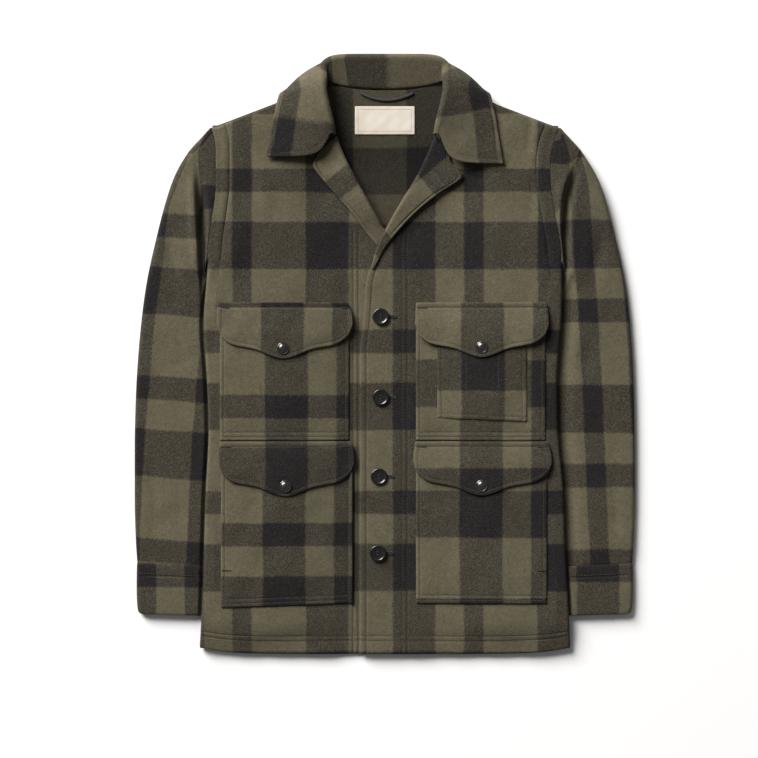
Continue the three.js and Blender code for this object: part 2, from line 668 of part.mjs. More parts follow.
/** A closed geometry as a solid that can be cut. */
function solidOf(geometry) {
  const bare = geometry.clone();
  bare.deleteAttribute("normal");
  bare.deleteAttribute("uv");
  const merged = BufferGeometryUtils.mergeVertices(bare, 1e-4);
  const kept = [];
  const index = merged.index.array;
  for (let i = 0; i < index.length; i += 3) {
    const [a, b, c] = [index[i], index[i + 1], index[i + 2]];
    if (a !== b && b !== c && c !== a) kept.push(a, b, c);
  }
  const mesh = new wasm.Mesh({
    numProp: 3,
    vertProperties: new Float32Array(merged.attributes.position.array),
    triVerts: new Uint32Array(kept),
  });
  return new wasm.Manifold(mesh);
}
function geometryOf(solid) {
  const mesh = solid.getMesh();
  const geometry = new THREE.BufferGeometry();
  geometry.setAttribute("position", new THREE.BufferAttribute(new Float32Array(mesh.vertProperties), 3));
  geometry.setIndex(new THREE.BufferAttribute(new Uint32Array(mesh.triVerts), 1));
  return geometry;
}

/** A four-hole button with a raised rim. */
function button() {
  const rim = BUTTON_RADIUS;
  const profile = [
    [0, 0],
    [rim - 1.6, 0],
    [rim, 1.1],
    [rim, BUTTON_DEPTH - 0.8],
    [rim - 1, BUTTON_DEPTH],
    [rim - 2.4, BUTTON_DEPTH - 0.2],
    [rim - 3.6, BUTTON_DEPTH - 1],
    [0, BUTTON_DEPTH - 1],
  ];
  let solid = solidOf(turned(profile, 16));
  for (const [dx, dy] of [[1, 1], [-1, 1], [-1, -1], [1, -1]]) {
    const drill = new THREE.CylinderGeometry(BUTTON_HOLE, BUTTON_HOLE, 3 * BUTTON_DEPTH, 6);
    drill.rotateX(Math.PI / 2);
    drill.translate(2 * dx, 2 * dy, 0);
    solid = solid.subtract(solidOf(drill));
  }
  return geometryOf(solid);
}

/** A domed snap cap on a thin flange. */
function snapCap() {
  const profile = [
    [0, 0],
    [SNAP_RADIUS, 0],
    [SNAP_RADIUS, 0.7],
    [SNAP_RADIUS - 1, 1.5],
    [SNAP_RADIUS * 0.55, SNAP_DEPTH - 0.2],
    [0, SNAP_DEPTH],
  ];
  return turned(profile, 14);
}

/** The hanger loop: a narrow tape that sags between its two sewn ends. */
function hangerLoop() {
  const STEPS = 10;
  const grid = [];
  for (let i = 0; i <= STEPS; i++) {
    const share = i / STEPS;
    const x = mix(LOOP.from, LOOP.to, share);
    const y = LOOP.top - LOOP.sag * Math.sin(Math.PI * share) ** 0.8;
    const z = backUnder(x, y) + CLOTH + SEAM + LOOP.thick;
    const slope = -Math.cos(Math.PI * share) * 0.45;
    const side = new THREE.Vector3(-slope, 1, 0).normalize().multiplyScalar(LOOP.wide / 2);
    const middle = new THREE.Vector3(x, y, z);
    grid.push([middle.clone().sub(side), middle.clone().add(side)]);
  }
  return wall(grid, LOOP.thick, UP, { straight: true });
}

function neckLabel() {
  const { from, to, top, bottom, thick } = NECK_LABEL;
  const grid = [];
  for (let i = 0; i <= 4; i++) {
    const y = mix(top, bottom, i / 4);
    const row = [];
    for (let j = 0; j <= 6; j++) {
      const x = mix(from, to, j / 6);
      row.push(new THREE.Vector3(x, y, backUnder(x, y) + CLOTH + SEAM + thick));
    }
    grid.push(row);
  }
  return wall(grid, thick, UP, { straight: true });
}

const jacket = new THREE.Group();
/** Adds a named piece of the jacket. */
function add(name, geometry, finish) {
  const mesh = new THREE.Mesh(geometry, new THREE.MeshStandardMaterial(finish));
  mesh.name = name;
  jacket.add(mesh);
  return mesh;
}

add("back", backPanel(), WOOL);
add("front_right", frontPanel(-1, UNDER_EDGE, underTop), WOOL);
add("front_left", frontPanel(1, OVER_EDGE, frontTop), WOOL);
add("lapel_facing_right", lapel(-1, RIGHT_LAPEL, underTop), WOOL);
add("lapel_facing_left", lapel(1, LEFT_LAPEL, frontTop), WOOL);
add("collar", collarBand(), WOOL);
for (const side of [-1, 1]) {
  add("sleeve_" + sideName(side), sleeveTube(side, SLEEVE, 20), WOOL);
  add("cuff_" + sideName(side), sleeveTube(side, CUFF, 4), WOOL);
}
for (const row of POCKETS) add(row.name, pocket(row), WOOL);
add("pencil_pocket", pencilPocket(), WOOL);
/** Seats a small piece flat on a surface, clear of it all round. */
function seat(mesh, x, y, surface, radius) {
  const level = surface(x, y);
  const tiltX = (surface(x + radius, y) - surface(x - radius, y)) / (2 * radius);
  const tiltY = (surface(x, y + radius) - surface(x, y - radius)) / (2 * radius);
  const normal = new THREE.Vector3(-tiltX, -tiltY, 1).normalize();
  mesh.quaternion.setFromUnitVectors(UP, normal);
  mesh.position.set(x, y, level).addScaledVector(normal, 2 * SEAM);
}
FLAPS.forEach((row, i) => {
  add(row.name, flap(row), WOOL);
  const across = mix(row.from, row.to, 0.5);
  const surface = (x, y) => (x < 0 ? underTop : frontTop)(x, y) + flapLift(row, (row.top - y) / row.point);
  seat(add("snap_" + (i + 1), snapCap(), BRASS), across, row.top - 0.81 * row.point, surface, SNAP_RADIUS);
});
BUTTONS.forEach(({ across, up }, i) => {
  seat(add("button_" + (i + 1), button(), HORN), across, up, frontTop, BUTTON_RADIUS);
});
add("neck_label", neckLabel(), LABEL);
add("hanger_loop", hangerLoop(), TAPE);

// The origin lies on the table under the middle of the jacket's bounding box
const middle = new THREE.Box3().setFromObject(jacket).getCenter(new THREE.Vector3());
jacket.position.set(-middle.x, -middle.y, 0);

export default jacket;
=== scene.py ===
"""A wool mackinaw jacket, buttoned and laid flat: its cloth, sewing, buttons and light."""

import logging
import math
from dataclasses import dataclass, field
from enum import Enum
from typing import Callable, NamedTuple, Sequence, Union

import bpy
import numpy as np
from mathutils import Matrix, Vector


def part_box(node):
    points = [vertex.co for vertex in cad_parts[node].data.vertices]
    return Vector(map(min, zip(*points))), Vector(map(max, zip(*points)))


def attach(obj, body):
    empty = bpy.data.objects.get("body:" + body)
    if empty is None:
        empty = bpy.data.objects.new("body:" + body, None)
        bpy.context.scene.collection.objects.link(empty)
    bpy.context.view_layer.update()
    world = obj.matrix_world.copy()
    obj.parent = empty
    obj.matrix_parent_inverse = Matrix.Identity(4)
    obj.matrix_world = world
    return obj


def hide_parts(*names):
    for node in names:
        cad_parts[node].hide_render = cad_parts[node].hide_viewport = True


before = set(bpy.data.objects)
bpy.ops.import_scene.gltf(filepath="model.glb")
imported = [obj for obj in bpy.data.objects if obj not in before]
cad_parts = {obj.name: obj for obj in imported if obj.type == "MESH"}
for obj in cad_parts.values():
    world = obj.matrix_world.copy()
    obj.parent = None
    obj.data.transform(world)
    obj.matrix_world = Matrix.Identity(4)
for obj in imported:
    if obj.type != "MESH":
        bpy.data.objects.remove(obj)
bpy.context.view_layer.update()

LOG = logging.getLogger("mackinaw")
MM = 0.001
PIXEL = 1.32
MIDDLE_COLUMN, MIDDLE_ROW = 384.75, 354.0
LABEL_CORNER = (-39.5, 327.5)
BESIDE_ROW = (-1.3, -0.6, 0.0, 0.6, 1.3)
UP = (0.0, 0.0, 1.0)
DOWN = (0.0, 0.0, -1.0)
Array = np.ndarray
Number = Union[float, Array]
Pair = tuple[float, float]


# Measuring


def measured(px: float) -> float:
    """Across place of a column of the photograph, in millimetres."""
    return (px - MIDDLE_COLUMN) * PIXEL


def level(py: float) -> float:
    """Up place of a row of the photograph, in millimetres."""
    return (MIDDLE_ROW - py) * PIXEL


def smooth(value: Number, low: float, high: float) -> Array:
    """Eased step from 0 to 1 between two values."""
    t = np.clip((np.asarray(value, float) - low) / (high - low), 0.0, 1.0)
    return t * t * (3.0 - 2.0 * t)


def lerp(a: Number, b: Number, t: Number) -> Array:
    """Value a share of the way from one to another."""
    return np.asarray(a) + (np.asarray(b) - np.asarray(a)) * np.asarray(t)


class Curve:
    """A rounded line through a few measured places, without overshoot."""

    def __init__(self, *places: tuple[float, float]) -> None:
        """Keeps the places.

        Args:
            places: pairs of a key and its value, the keys rising.
        """
        self.keys = np.array([place[0] for place in places], float)
        self.values = np.array([place[1] for place in places], float)

    def at(self, key: Number) -> Array:
        """Value at a key.

        Args:
            key: where to read the line.

        Returns:
            The value there, held past both ends.
        """
        k, v, last = self.keys, self.values, len(self.keys) - 1
        key = np.asarray(key, float)
        i = np.clip(np.searchsorted(k, key, side="left") - 1, 0, last - 1)
        span, chord = k[i + 1] - k[i], v[i + 1] - v[i]
        t = np.clip((key - k[i]) / span, 0.0, 1.0)
        before, after = np.maximum(i - 1, 0), np.minimum(i + 2, last)
        enter = np.where(i > 0, (v[i + 1] - v[before]) / (k[i + 1] - k[before]) * span, chord)
        leave = np.where(i + 2 <= last, (v[after] - v[i]) / (k[after] - k[i]) * span, chord)
        a, b = (self._limit(m, chord) for m in (enter, leave))
        t2, t3 = t * t, t * t * t
        leaving = (2 * t3 - 3 * t2 + 1) * v[i] + (t3 - 2 * t2 + t) * a
        return leaving + (3 * t2 - 2 * t3) * v[i + 1] + (t3 - t2) * b

    @staticmethod
    def _limit(slope: Array, chord: Array) -> Array:
        """Slope held to what keeps the line from overshooting."""
        held = np.sign(chord) * np.minimum(np.abs(slope), 3.0 * np.abs(chord))
        return np.where(slope * chord <= 0.0, 0.0, held)


class Crease(NamedTuple):
    """A soft ridge or trough."""

    x: float
    y: float
    turn: float
    long: float
    wide: float
    high: float


def relief(creases: Sequence[Crease], x: Number, y: Number) -> Array:
    """Height that a set of creases adds at a place.

    Args:
        creases: the ridges and troughs.
        x: across, in millimetres.
        y: up, in millimetres.

    Returns:
        The height in millimetres.
    """
    total = np.zeros(np.broadcast(x, y).shape)
    for crease in creases:
        c, s = math.cos(math.radians(crease.turn)), math.sin(math.radians(crease.turn))
        dx, dy = x - crease.x, y - crease.y
        p, q = (dx * c + dy * s) / crease.long, (dy * c - dx * s) / crease.wide
        total = total + crease.high * np.exp(-p * p - q * q)
    return total


def unevenness(x: Number, y: Number, phase: float, length: float = 70.0) -> Array:
    """Gentle waviness of heavy wool that lies loose, from -1 to 1.

    Args:
        x: across, in millimetres.
        y: up, in millimetres.
        phase: shifts the waves, so that pieces differ.
        length: of the longest waves, in millimetres.

    Returns:
        The height as a share.
    """
    total = np.zeros(np.broadcast(x, y).shape)
    for k in range(7):
        angle = 0.6 + 2.399 * k + phase
        reach = length * (1.0 - 0.09 * k)
        along = x * math.cos(angle) + y * math.sin(angle)
        total = total + np.sin(2.0 * math.pi * along / reach + 1.7 * k * k + 5.0 * phase)
    return total / 4.2


def stations(length: float, spacing: float, marks: Sequence[float], near: float = 1.3) -> Array:
    """Places for grid lines: even, and close together at each sewn row.

    Args:
        length: of the side, in millimetres.
        spacing: the widest gap between lines.
        marks: distances of the sewn rows from the start.
        near: how far the close lines stand from a sewn row.

    Returns:
        The places, from 0 to length.
    """
    places = {0.0, length}
    for mark in marks:
        places.update(mark + step * near for step in (-1.0, -0.45, 0.0, 0.45, 1.0))
    kept = sorted(place for place in places if 0.0 <= place <= length)
    line = [kept[0]]
    for place in kept[1:]:
        start = line[-1]
        if place - start < 0.3:
            continue
        parts = max(1, math.ceil((place - start) / spacing))
        line.extend(start + (place - start) * step / parts for step in range(1, parts + 1))
    line[-1] = length
    return np.array(line)


def groove(distance: Number, rows: Sequence[float], depth: float = 1.1) -> Array:
    """Furrow that a tight row of stitches presses into the cloth.

    Args:
        distance: from the edge, in millimetres.
        rows: distances of the sewn rows.
        depth: of the furrow.

    Returns:
        The height, 0 or less.
    """
    total = np.zeros(np.shape(distance))
    for row in rows:
        total = total - depth * np.exp(-(((distance - row) / 1.1) ** 2))
    return total


class Side(Enum):
    """The wearer's sides, with their sign along X."""

    RIGHT = -1
    LEFT = 1

    @property
    def word(self) -> str:
        """The side's name in small letters."""
        return self.name.lower()


# The jacket's form


@dataclass(frozen=True)
class BodyForm:
    """Heights and edges that the body's pieces share, in millimetres."""

    cloth: float = 2.6
    seam: float = 0.3
    hem_up: float = -397.0
    hem_side_up: float = -389.0
    tip_up: float = 300.0
    tip_across: float = 229.0
    neck_up: float = 356.0
    neck_across: float = 83.0
    neck_dip: float = 7.3
    body_depth: float = 9.9
    edge_turn: float = 7.2
    side_ride: float = 6.8
    neck_ride: float = 5.0
    armhole_seam: float = 1.3
    overlap_step: float = 3.5
    right_edge: Curve = Curve(
        (-389, 245), (-330, 241), (-250, 238.6), (-180, 236.3), (-100, 232.5), (-30, 235), (38, 239.5),
        (100, 235), (144, 232.5), (180, 227.5), (214, 223), (250, 222.8), (277, 223), (300, 229),
    )
    left_edge: Curve = Curve(
        (-389, 245.5), (-330, 242.5), (-250, 238.2), (-180, 236), (-100, 229), (-30, 228), (38, 233),
        (100, 234.5), (144, 232), (180, 225), (214, 219.6), (250, 218.2), (277, 222), (300, 231),
    )
    pressed: tuple[Crease, ...] = (
        Crease(-205, 128, 62, 60, 15, 1.6),
        Crease(206, 140, 118, 55, 14, 1.4),
        Crease(-120, 205, 100, 70, 24, 1.1),
        Crease(140, 190, 80, 80, 26, 1.2),
        Crease(-226, -130, 95, 70, 12, -1.0),
        Crease(222, -60, 88, 70, 12, -1.2),
    )
    drape: tuple[Crease, ...] = (
        Crease(-176, 236, 97, 46, 5, -1.1),
        Crease(-160, 232, 98, 44, 6, 0.7),
        Crease(190, 292, 86, 26, 3.4, -1.2),
        Crease(199, 288, 86, 28, 4, 0.8),
        Crease(196, 214, 84, 44, 5, -0.9),
        Crease(120, 225, 70, 40, 9, -0.8),
        Crease(-214, 96, 118, 30, 7, -1.1),
        Crease(-228, 76, 110, 34, 7, 1.0),
        Crease(216, 92, 66, 28, 6, -1.0),
        Crease(228, 60, 78, 34, 7, 0.9),
        Crease(-12, -110, 96, 60, 7, -0.5),
        Crease(8, -330, 90, 50, 8, 0.5),
        Crease(-130, -362, 12, 60, 9, 0.6),
        Crease(120, -358, -10, 70, 10, 0.6),
        Crease(-228, -250, 92, 60, 7, 0.9),
        Crease(228, -300, 88, 60, 7, 0.8),
    )

    def edge(self, side: Side, y: Number) -> Array:
        """Half width of the body on a side at a height."""
        return (self.right_edge if side is Side.RIGHT else self.left_edge).at(y)

    def back_under(self, x: Number, y: Number) -> Array:
        """Underside of the back: on the table, riding on the sleeves and the collar leaf."""
        sides = smooth(np.abs(x), 50, 162) * smooth(y, self.hem_up, -352)
        neck = smooth(y, 236, 300)
        return self.side_ride * sides + self.neck_ride * neck * (1 - sides)

    def front_top(self, x: Number, y: Number) -> Array:
        """Upper face of the front that lies on top."""
        edge = np.where(np.asarray(x) < 0, self.edge(Side.RIGHT, y), self.edge(Side.LEFT, y))
        away = np.minimum(np.abs(np.abs(x) - edge), 40)
        inland = smooth(away, 4, 34) * (1 - smooth(y, 270, 300))
        settle = -1.5 * smooth(np.abs(x), 40, 85) * (1 - smooth(np.abs(x), 170, 222))
        inner = smooth(away, 1, 16) * (1 - smooth(y, 318, 340))
        loose = 1.5 * relief(self.drape, x, y) + 0.9 * unevenness(x, y, 0.3, 96)
        height = self.back_under(x, y) + self.body_depth + (settle + relief(self.pressed, x, y)) * inland
        return height + loose * inner

    def under_top(self, x: Number, y: Number) -> Array:
        """Upper face of the front that lies underneath, sunk below the overlap."""
        return self.front_top(x, y) - self.overlap_step * smooth(x, -78, -44) * (1 - smooth(y, 150, 190))

    def panel_top(self, x: Number, y: Number) -> Array:
        """Upper face of whichever front lies at a place."""
        return np.where(np.asarray(x) < -45, self.under_top(x, y), self.front_top(x, y))

    def edge_angle(self, y: Number) -> Array:
        """How far a side edge is turned: square at the sides, flat at the armhole."""
        return math.radians(90) * (1 - smooth(y, 96, 138))

    def turn(self, length: Number, angle: Number) -> tuple[Array, Array]:
        """How far a turned edge has run out and dropped.

        Args:
            length: of cloth along the turn.
            angle: of the whole turn, in radians.

        Returns:
            The run outwards and the drop.
        """
        angle = np.maximum(np.asarray(angle, float), 1e-3)
        radius = self.edge_turn / angle
        swung = angle * np.asarray(length) / self.edge_turn
        return radius * np.sin(swung), radius * (1 - np.cos(swung))

    def armhole(self, side: Side, y: Number) -> Array:
        """Across place of the sleeve's sewn edge at a height."""
        return side.value * (self.edge(side, y) + self.armhole_seam)


FORM = BodyForm()


@dataclass(frozen=True)
class Check:
    """Widths of the woven check, in millimetres: wide black, olive, narrow black, olive."""

    warp: tuple[float, float, float, float] = (56.1, 37.6, 25.7, 71.3)
    weft: tuple[float, float, float, float] = (62.0, 80.5, 30.4, 39.6)

    @staticmethod
    def bands(widths: Sequence[float]) -> tuple[tuple[float, float], tuple[float, float], float]:
        """The two black bands and the repeat of one way of the check."""
        first = (0.0, widths[0])
        start = widths[0] + widths[1]
        return first, (start, start + widths[2]), sum(widths)


@dataclass(frozen=True)
class Lay:
    """How the check falls on a piece that lies flat.

    The wide black warp band starts at across, and the wide black weft band at up.
    """

    across: float
    up: float
    run: float = 1.0
    rise: float = 1.0

    def at(self, x: Number, y: Number) -> tuple[Array, Array]:
        """The cloth's own coordinates at a place, in millimetres."""
        return (np.asarray(x) - self.across) * self.run, (self.up - np.asarray(y)) * self.rise


def frame_shift() -> Array:
    """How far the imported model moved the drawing's origin, in millimetres, read off the label's corner."""
    low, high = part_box("neck_label")
    return np.array([low.x / MM - LABEL_CORNER[0], high.y / MM - LABEL_CORNER[1], 0.0])


SHIFT = frame_shift()


# Finishes


class Value:
    """A socket of a node tree that Python sums can use."""

    def __init__(self, recipe: "Recipe", socket: bpy.types.NodeSocket) -> None:
        """Keeps the socket and the recipe that it belongs to."""
        self.recipe = recipe
        self.socket = socket

    def _sum(self, operation: str, a: object, b: object) -> "Value":
        """Adds one Math node."""
        return self.recipe.node("ShaderNodeMath", {"operation": operation}, {0: a, 1: b})

    def __add__(self, other: object) -> "Value":
        """Sum."""
        return self._sum("ADD", self, other)

    __radd__ = __add__

    def __sub__(self, other: object) -> "Value":
        """Difference."""
        return self._sum("SUBTRACT", self, other)

    def __rsub__(self, other: object) -> "Value":
        """Difference from a plain number."""
        return self._sum("SUBTRACT", other, self)

    def __mul__(self, other: object) -> "Value":
        """Product."""
        return self._sum("MULTIPLY", self, other)

    __rmul__ = __mul__

    def __truediv__(self, other: object) -> "Value":
        """Quotient."""
        return self._sum("DIVIDE", self, other)

    def __pow__(self, other: object) -> "Value":
        """Power."""
        return self._sum("POWER", self, other)

    def clamped(self) -> "Value":
        """Held between 0 and 1."""
        return self.recipe.node("ShaderNodeClamp", {}, {"Value": self})

    def wrapped(self, period: float) -> "Value":
        """Folded back into one period."""
        return self.recipe.node("ShaderNodeMath", {"operation": "WRAP"}, {0: self, 1: period, 2: 0.0})

    def sine(self) -> "Value":
        """Sine of the value in radians."""
        return self.recipe.node("ShaderNodeMath", {"operation": "SINE"}, {0: self})

    def between(self, low: float, high: float, soft: float) -> "Value":
        """1 between two values and 0 outside, with soft ends."""
        rise = ((self - low) / soft + 0.5).clamped()
        return rise * ((high - self) / soft + 0.5).clamped()


Setting = Union[str, float, bool]
Color = tuple[float, float, float]


class Recipe:
    """A material's node tree, written as sums."""

    def __init__(self, name: str) -> None:
        """Starts a material with one Principled shader."""
        self.material = bpy.data.materials.new(name)
        self.material.use_nodes = True
        self.tree = self.material.node_tree
        self.tree.nodes.clear()
        self.shader = self.tree.nodes.new("ShaderNodeBsdfPrincipled")
        output = self.tree.nodes.new("ShaderNodeOutputMaterial")
        self.tree.links.new(self.shader.outputs["BSDF"], output.inputs["Surface"])

    def node(
        self,
        kind: str,
        settings: dict[str, Setting],
        inputs: dict[Union[int, str], object],
        output: Union[int, str] = 0,
    ) -> Value:
        """Adds a node.

        Args:
            kind: the node's type.
            settings: its own settings, set first.
            inputs: values or links of its sockets, by name or number.
            output: the socket to hand back.

        Returns:
            The chosen output.
        """
        made = self.tree.nodes.new(kind)
        for key, value in settings.items():
            setattr(made, key, value)
        for key, value in inputs.items():
            self._feed(made.inputs[key], value)
        return Value(self, made.outputs[output])

    def _feed(self, socket: bpy.types.NodeSocket, value: object) -> None:
        """Links or sets one input."""
        if isinstance(value, Value):
            self.tree.links.new(value.socket, socket)
        elif isinstance(value, tuple) and len(value) == 3 and socket.type == "RGBA":
            socket.default_value = (*value, 1.0)
        else:
            socket.default_value = value

    def set(self, **sockets: object) -> None:
        """Sets the shader's inputs, a low line in a name standing for a space."""
        for key, value in sockets.items():
            self._feed(self.shader.inputs[key.replace("_", " ")], value)

    def cloth(self) -> tuple[Value, Value]:
        """The cloth's coordinates along the weft and the warp, in millimetres."""
        place = self.node("ShaderNodeUVMap", {"uv_map": "cloth"}, {})
        split = self.node("ShaderNodeSeparateXYZ", {}, {"Vector": place})
        weft_way, warp_way = split.socket.node.outputs[:2]
        return Value(self, weft_way) * 1000.0, Value(self, warp_way) * 1000.0

    def noise(self, scale: float, detail: float = 2.0, rough: float = 0.5) -> Value:
        """Noise with features of about a unit over scale, in object coordinates."""
        place = self.node("ShaderNodeTexCoord", {}, {}, "Object")
        inputs = {"Vector": place, "Scale": scale, "Detail": detail, "Roughness": rough}
        return self.node("ShaderNodeTexNoise", {}, inputs)

    def mix(self, factor: object, a: object, b: object, mode: str = "MIX") -> Value:
        """Mixes two colours."""
        settings = {"data_type": "RGBA", "blend_type": mode}
        return self.node("ShaderNodeMix", settings, {0: factor, 6: a, 7: b}, 2)

    def bump(self, height: Value, depth: float) -> Value:
        """Normal from a height, depth in metres."""
        return self.node("ShaderNodeBump", {}, {"Strength": 1.0, "Distance": depth, "Height": height})


@dataclass(frozen=True)
class CheckedWool:
    """Thick napped wool in a two-colour check, woven as a twill."""

    name: str = "checked_wool"
    olive: Color = (0.108, 0.094, 0.060)
    charcoal: Color = (0.0103, 0.0090, 0.0108)
    fleck: Color = (0.078, 0.062, 0.042)
    heather: float = 1.5
    blur: float = 2.6
    yarn: float = 2.2
    nap: float = 0.00055
    nap_scale: float = 640.0
    fleck_share: float = 0.50
    sheen: float = 0.10
    check: Check = Check()

    def made(self) -> bpy.types.Material:
        """The material."""
        mixed = Recipe(self.name)
        weft_way, warp_way = mixed.cloth()
        fuzz = mixed.noise(420, 2.0, 0.6)
        drift = mixed.noise(24, 1.0, 0.5)
        stray = (fuzz - 0.5) * (2.2 * self.blur) + (drift - 0.5) * 3.0
        across, down = weft_way + stray, warp_way + stray
        warp = self._bands(across, self.check.warp)
        weft = self._bands(down, self.check.weft)
        twill = ((across + down) * (2.0 * math.pi / self.yarn)).sine()
        fibre = mixed.noise(760, 3.0, 0.65)
        shown = ((fibre - 0.5) * 1.9 + twill * 0.12 + 0.5).clamped()
        dark = warp * shown + weft * (1.0 - shown)
        olive_share = (1.0 - dark) ** self.heather
        tone = mixed.mix(olive_share, self.charcoal, self.olive)
        flecks = ((mixed.noise(self.nap_scale, 4.0, 0.85) - 0.5) * 3.6).clamped() * self.fleck_share
        tone = mixed.mix(flecks * (1.30 - 0.08 * olive_share), tone, self.fleck)
        depth = 1.0 + 2.3 * (mixed.noise(self.nap_scale, 4.0, 0.8) - 0.5)
        wear = 1.0 + 0.6 * (mixed.noise(150, 3.0, 0.65) - 0.5)
        shade = mixed.node("ShaderNodeCombineColor", {}, {0: depth * wear, 1: depth * wear, 2: depth * wear})
        mixed.set(Base_Color=mixed.mix(1.0, tone, shade, "MULTIPLY"))
        height = fibre * 0.9 + twill * 0.10 + mixed.noise(260, 3.0, 0.6) * 0.9
        mixed.set(Normal=mixed.bump(height, self.nap))
        mixed.set(Roughness=0.96, Specular_IOR_Level=0.18, Sheen_Weight=self.sheen, Sheen_Roughness=0.45)
        mixed.set(Sheen_Tint=(0.80, 0.77, 0.68))
        return mixed.material

    def _bands(self, along: Value, widths: Sequence[float]) -> Value:
        """1 on the black bands of one way of the check."""
        first, second, repeat = Check.bands(widths)
        lead = widths[3] * 0.4
        folded = (along + lead).wrapped(repeat)
        wide = folded.between(first[0] + lead, first[1] + lead, self.blur)
        return wide + folded.between(second[0] + lead, second[1] + lead, self.blur)


@dataclass(frozen=True)
class Thread:
    """Waxed sewing thread, twisted and slightly shiny."""

    name: str
    color: Color
    twist: float = 2600.0

    def made(self) -> bpy.types.Material:
        """The material."""
        mixed = Recipe(self.name)
        fibre = mixed.noise(self.twist, 2.0, 0.6)
        lift = tuple(min(1.0, part * 1.7 + 0.01) for part in self.color)
        mixed.set(Base_Color=mixed.mix((fibre - 0.35).clamped(), self.color, lift))
        mixed.set(Roughness=0.62, Normal=mixed.bump(fibre, 0.00008))
        return mixed.material


@dataclass(frozen=True)
class PolishedHorn:
    """Black glossy button stuff with a faint streak."""

    name: str = "polished_horn"
    color: Color = (0.0075, 0.0070, 0.0072)
    streak: Color = (0.030, 0.025, 0.021)

    def made(self) -> bpy.types.Material:
        """The material."""
        mixed = Recipe(self.name)
        veins = mixed.noise(240, 4.0, 0.6)
        scuffs = mixed.noise(1900, 3.0, 0.7)
        mixed.set(Base_Color=mixed.mix(((veins - 0.5) * 2.5).clamped(), self.color, self.streak))
        mixed.set(Roughness=0.17 + 0.16 * scuffs, Coat_Weight=0.35, Coat_Roughness=0.12)
        mixed.set(Normal=mixed.bump(scuffs, 0.000015))
        return mixed.material


@dataclass(frozen=True)
class DarkenedBrass:
    """Blackened metal of the snap caps, rubbed a little brighter in places."""

    name: str = "darkened_brass"
    color: Color = (0.17, 0.16, 0.155)
    rubbed: Color = (0.34, 0.32, 0.30)

    def made(self) -> bpy.types.Material:
        """The material."""
        mixed = Recipe(self.name)
        patina = mixed.noise(420, 4.0, 0.65)
        grain = mixed.noise(2600, 2.0, 0.6)
        mixed.set(Base_Color=mixed.mix(((patina - 0.55) * 4.0).clamped(), self.color, self.rubbed))
        mixed.set(Metallic=1.0, Roughness=0.16 + 0.24 * patina, Normal=mixed.bump(grain, 0.00002))
        return mixed.material


@dataclass(frozen=True)
class WovenLabel:
    """Bare cream satin label with a plain woven rule round it."""

    name: str = "woven_label"
    cream: Color = (0.71, 0.645, 0.555)
    rule: Color = (0.42, 0.13, 0.12)

    def made(self) -> bpy.types.Material:
        """The material."""
        mixed = Recipe(self.name)
        x, y = mixed.cloth()
        rib = (y * (2.0 * math.pi / 0.55)).sine() * 0.5 + (x * (2.0 * math.pi / 0.8)).sine() * 0.3
        inner = x.between(4.0, 75.2, 0.4) * y.between(4.0, 33.5, 0.4)
        frame_line = inner - x.between(4.7, 74.5, 0.4) * y.between(4.7, 32.8, 0.4)
        age = mixed.noise(60, 3.0, 0.6)
        cream = mixed.mix((age - 0.4).clamped(), self.cream, (0.66, 0.59, 0.49))
        mixed.set(Base_Color=mixed.mix(frame_line.clamped() * 0.7, cream, self.rule))
        mixed.set(Roughness=0.72, Normal=mixed.bump(rib + mixed.noise(900, 2.0, 0.6), 0.00012))
        return mixed.material


@dataclass(frozen=True)
class LoopTape:
    """Dark grosgrain of the hanger loop."""

    name: str = "loop_tape"
    color: Color = (0.016, 0.016, 0.018)

    def made(self) -> bpy.types.Material:
        """The material."""
        mixed = Recipe(self.name)
        rib = (mixed.cloth()[0] * (2.0 * math.pi / 0.9)).sine()
        fibre = mixed.noise(1400, 2.0, 0.6)
        mixed.set(Base_Color=mixed.mix((fibre - 0.4).clamped(), self.color, (0.05, 0.05, 0.054)))
        mixed.set(Roughness=0.7, Normal=mixed.bump(rib * 0.6 + fibre, 0.00015))
        return mixed.material


@dataclass(frozen=True)
class Backdrop:
    """Smooth white paper that the jacket lies on."""

    name: str = "white_backdrop"
    color: Color = (0.90, 0.90, 0.90)

    def made(self) -> bpy.types.Material:
        """The material."""
        mixed = Recipe(self.name)
        tooth = mixed.noise(180, 2.0, 0.5)
        mixed.set(Base_Color=mixed.mix(tooth, self.color, (0.915, 0.915, 0.915)), Roughness=0.9)
        mixed.set(Specular_IOR_Level=0.2)
        return mixed.material


class Finishes:
    """The jacket's materials, each made once."""

    def __init__(self) -> None:
        """Makes every finish."""
        self.wool = CheckedWool().made()
        # Painted shade: a copy of the wool about half as bright, laid on the back's inner side to stand in
        # for the shade inside the neck.
        self.reverse = CheckedWool(
            "wool_reverse", (0.054, 0.047, 0.030), (0.0068, 0.0060, 0.0070), (0.037, 0.030, 0.020), sheen=0.03
        ).made()
        self.thread = Thread("olive_thread", (0.050, 0.046, 0.034)).made()
        self.bar_thread = Thread("black_thread", (0.014, 0.013, 0.014)).made()
        self.label_thread = Thread("cream_thread", (0.60, 0.55, 0.46)).made()
        self.button = PolishedHorn().made()
        self.snap = DarkenedBrass().made()
        self.label = WovenLabel().made()
        self.tape = LoopTape().made()
        self.floor = Backdrop().made()


# Making pieces


def clear_selection() -> None:
    """Leaves nothing selected, in object mode."""
    if bpy.context.object and bpy.context.object.mode != "OBJECT":
        bpy.ops.object.mode_set(mode="OBJECT")
    bpy.ops.object.select_all(action="DESELECT")


def take_up(piece: bpy.types.Object) -> None:
    """Selects one piece alone and makes it active."""
    clear_selection()
    piece.select_set(True)
    bpy.context.view_layer.objects.active = piece


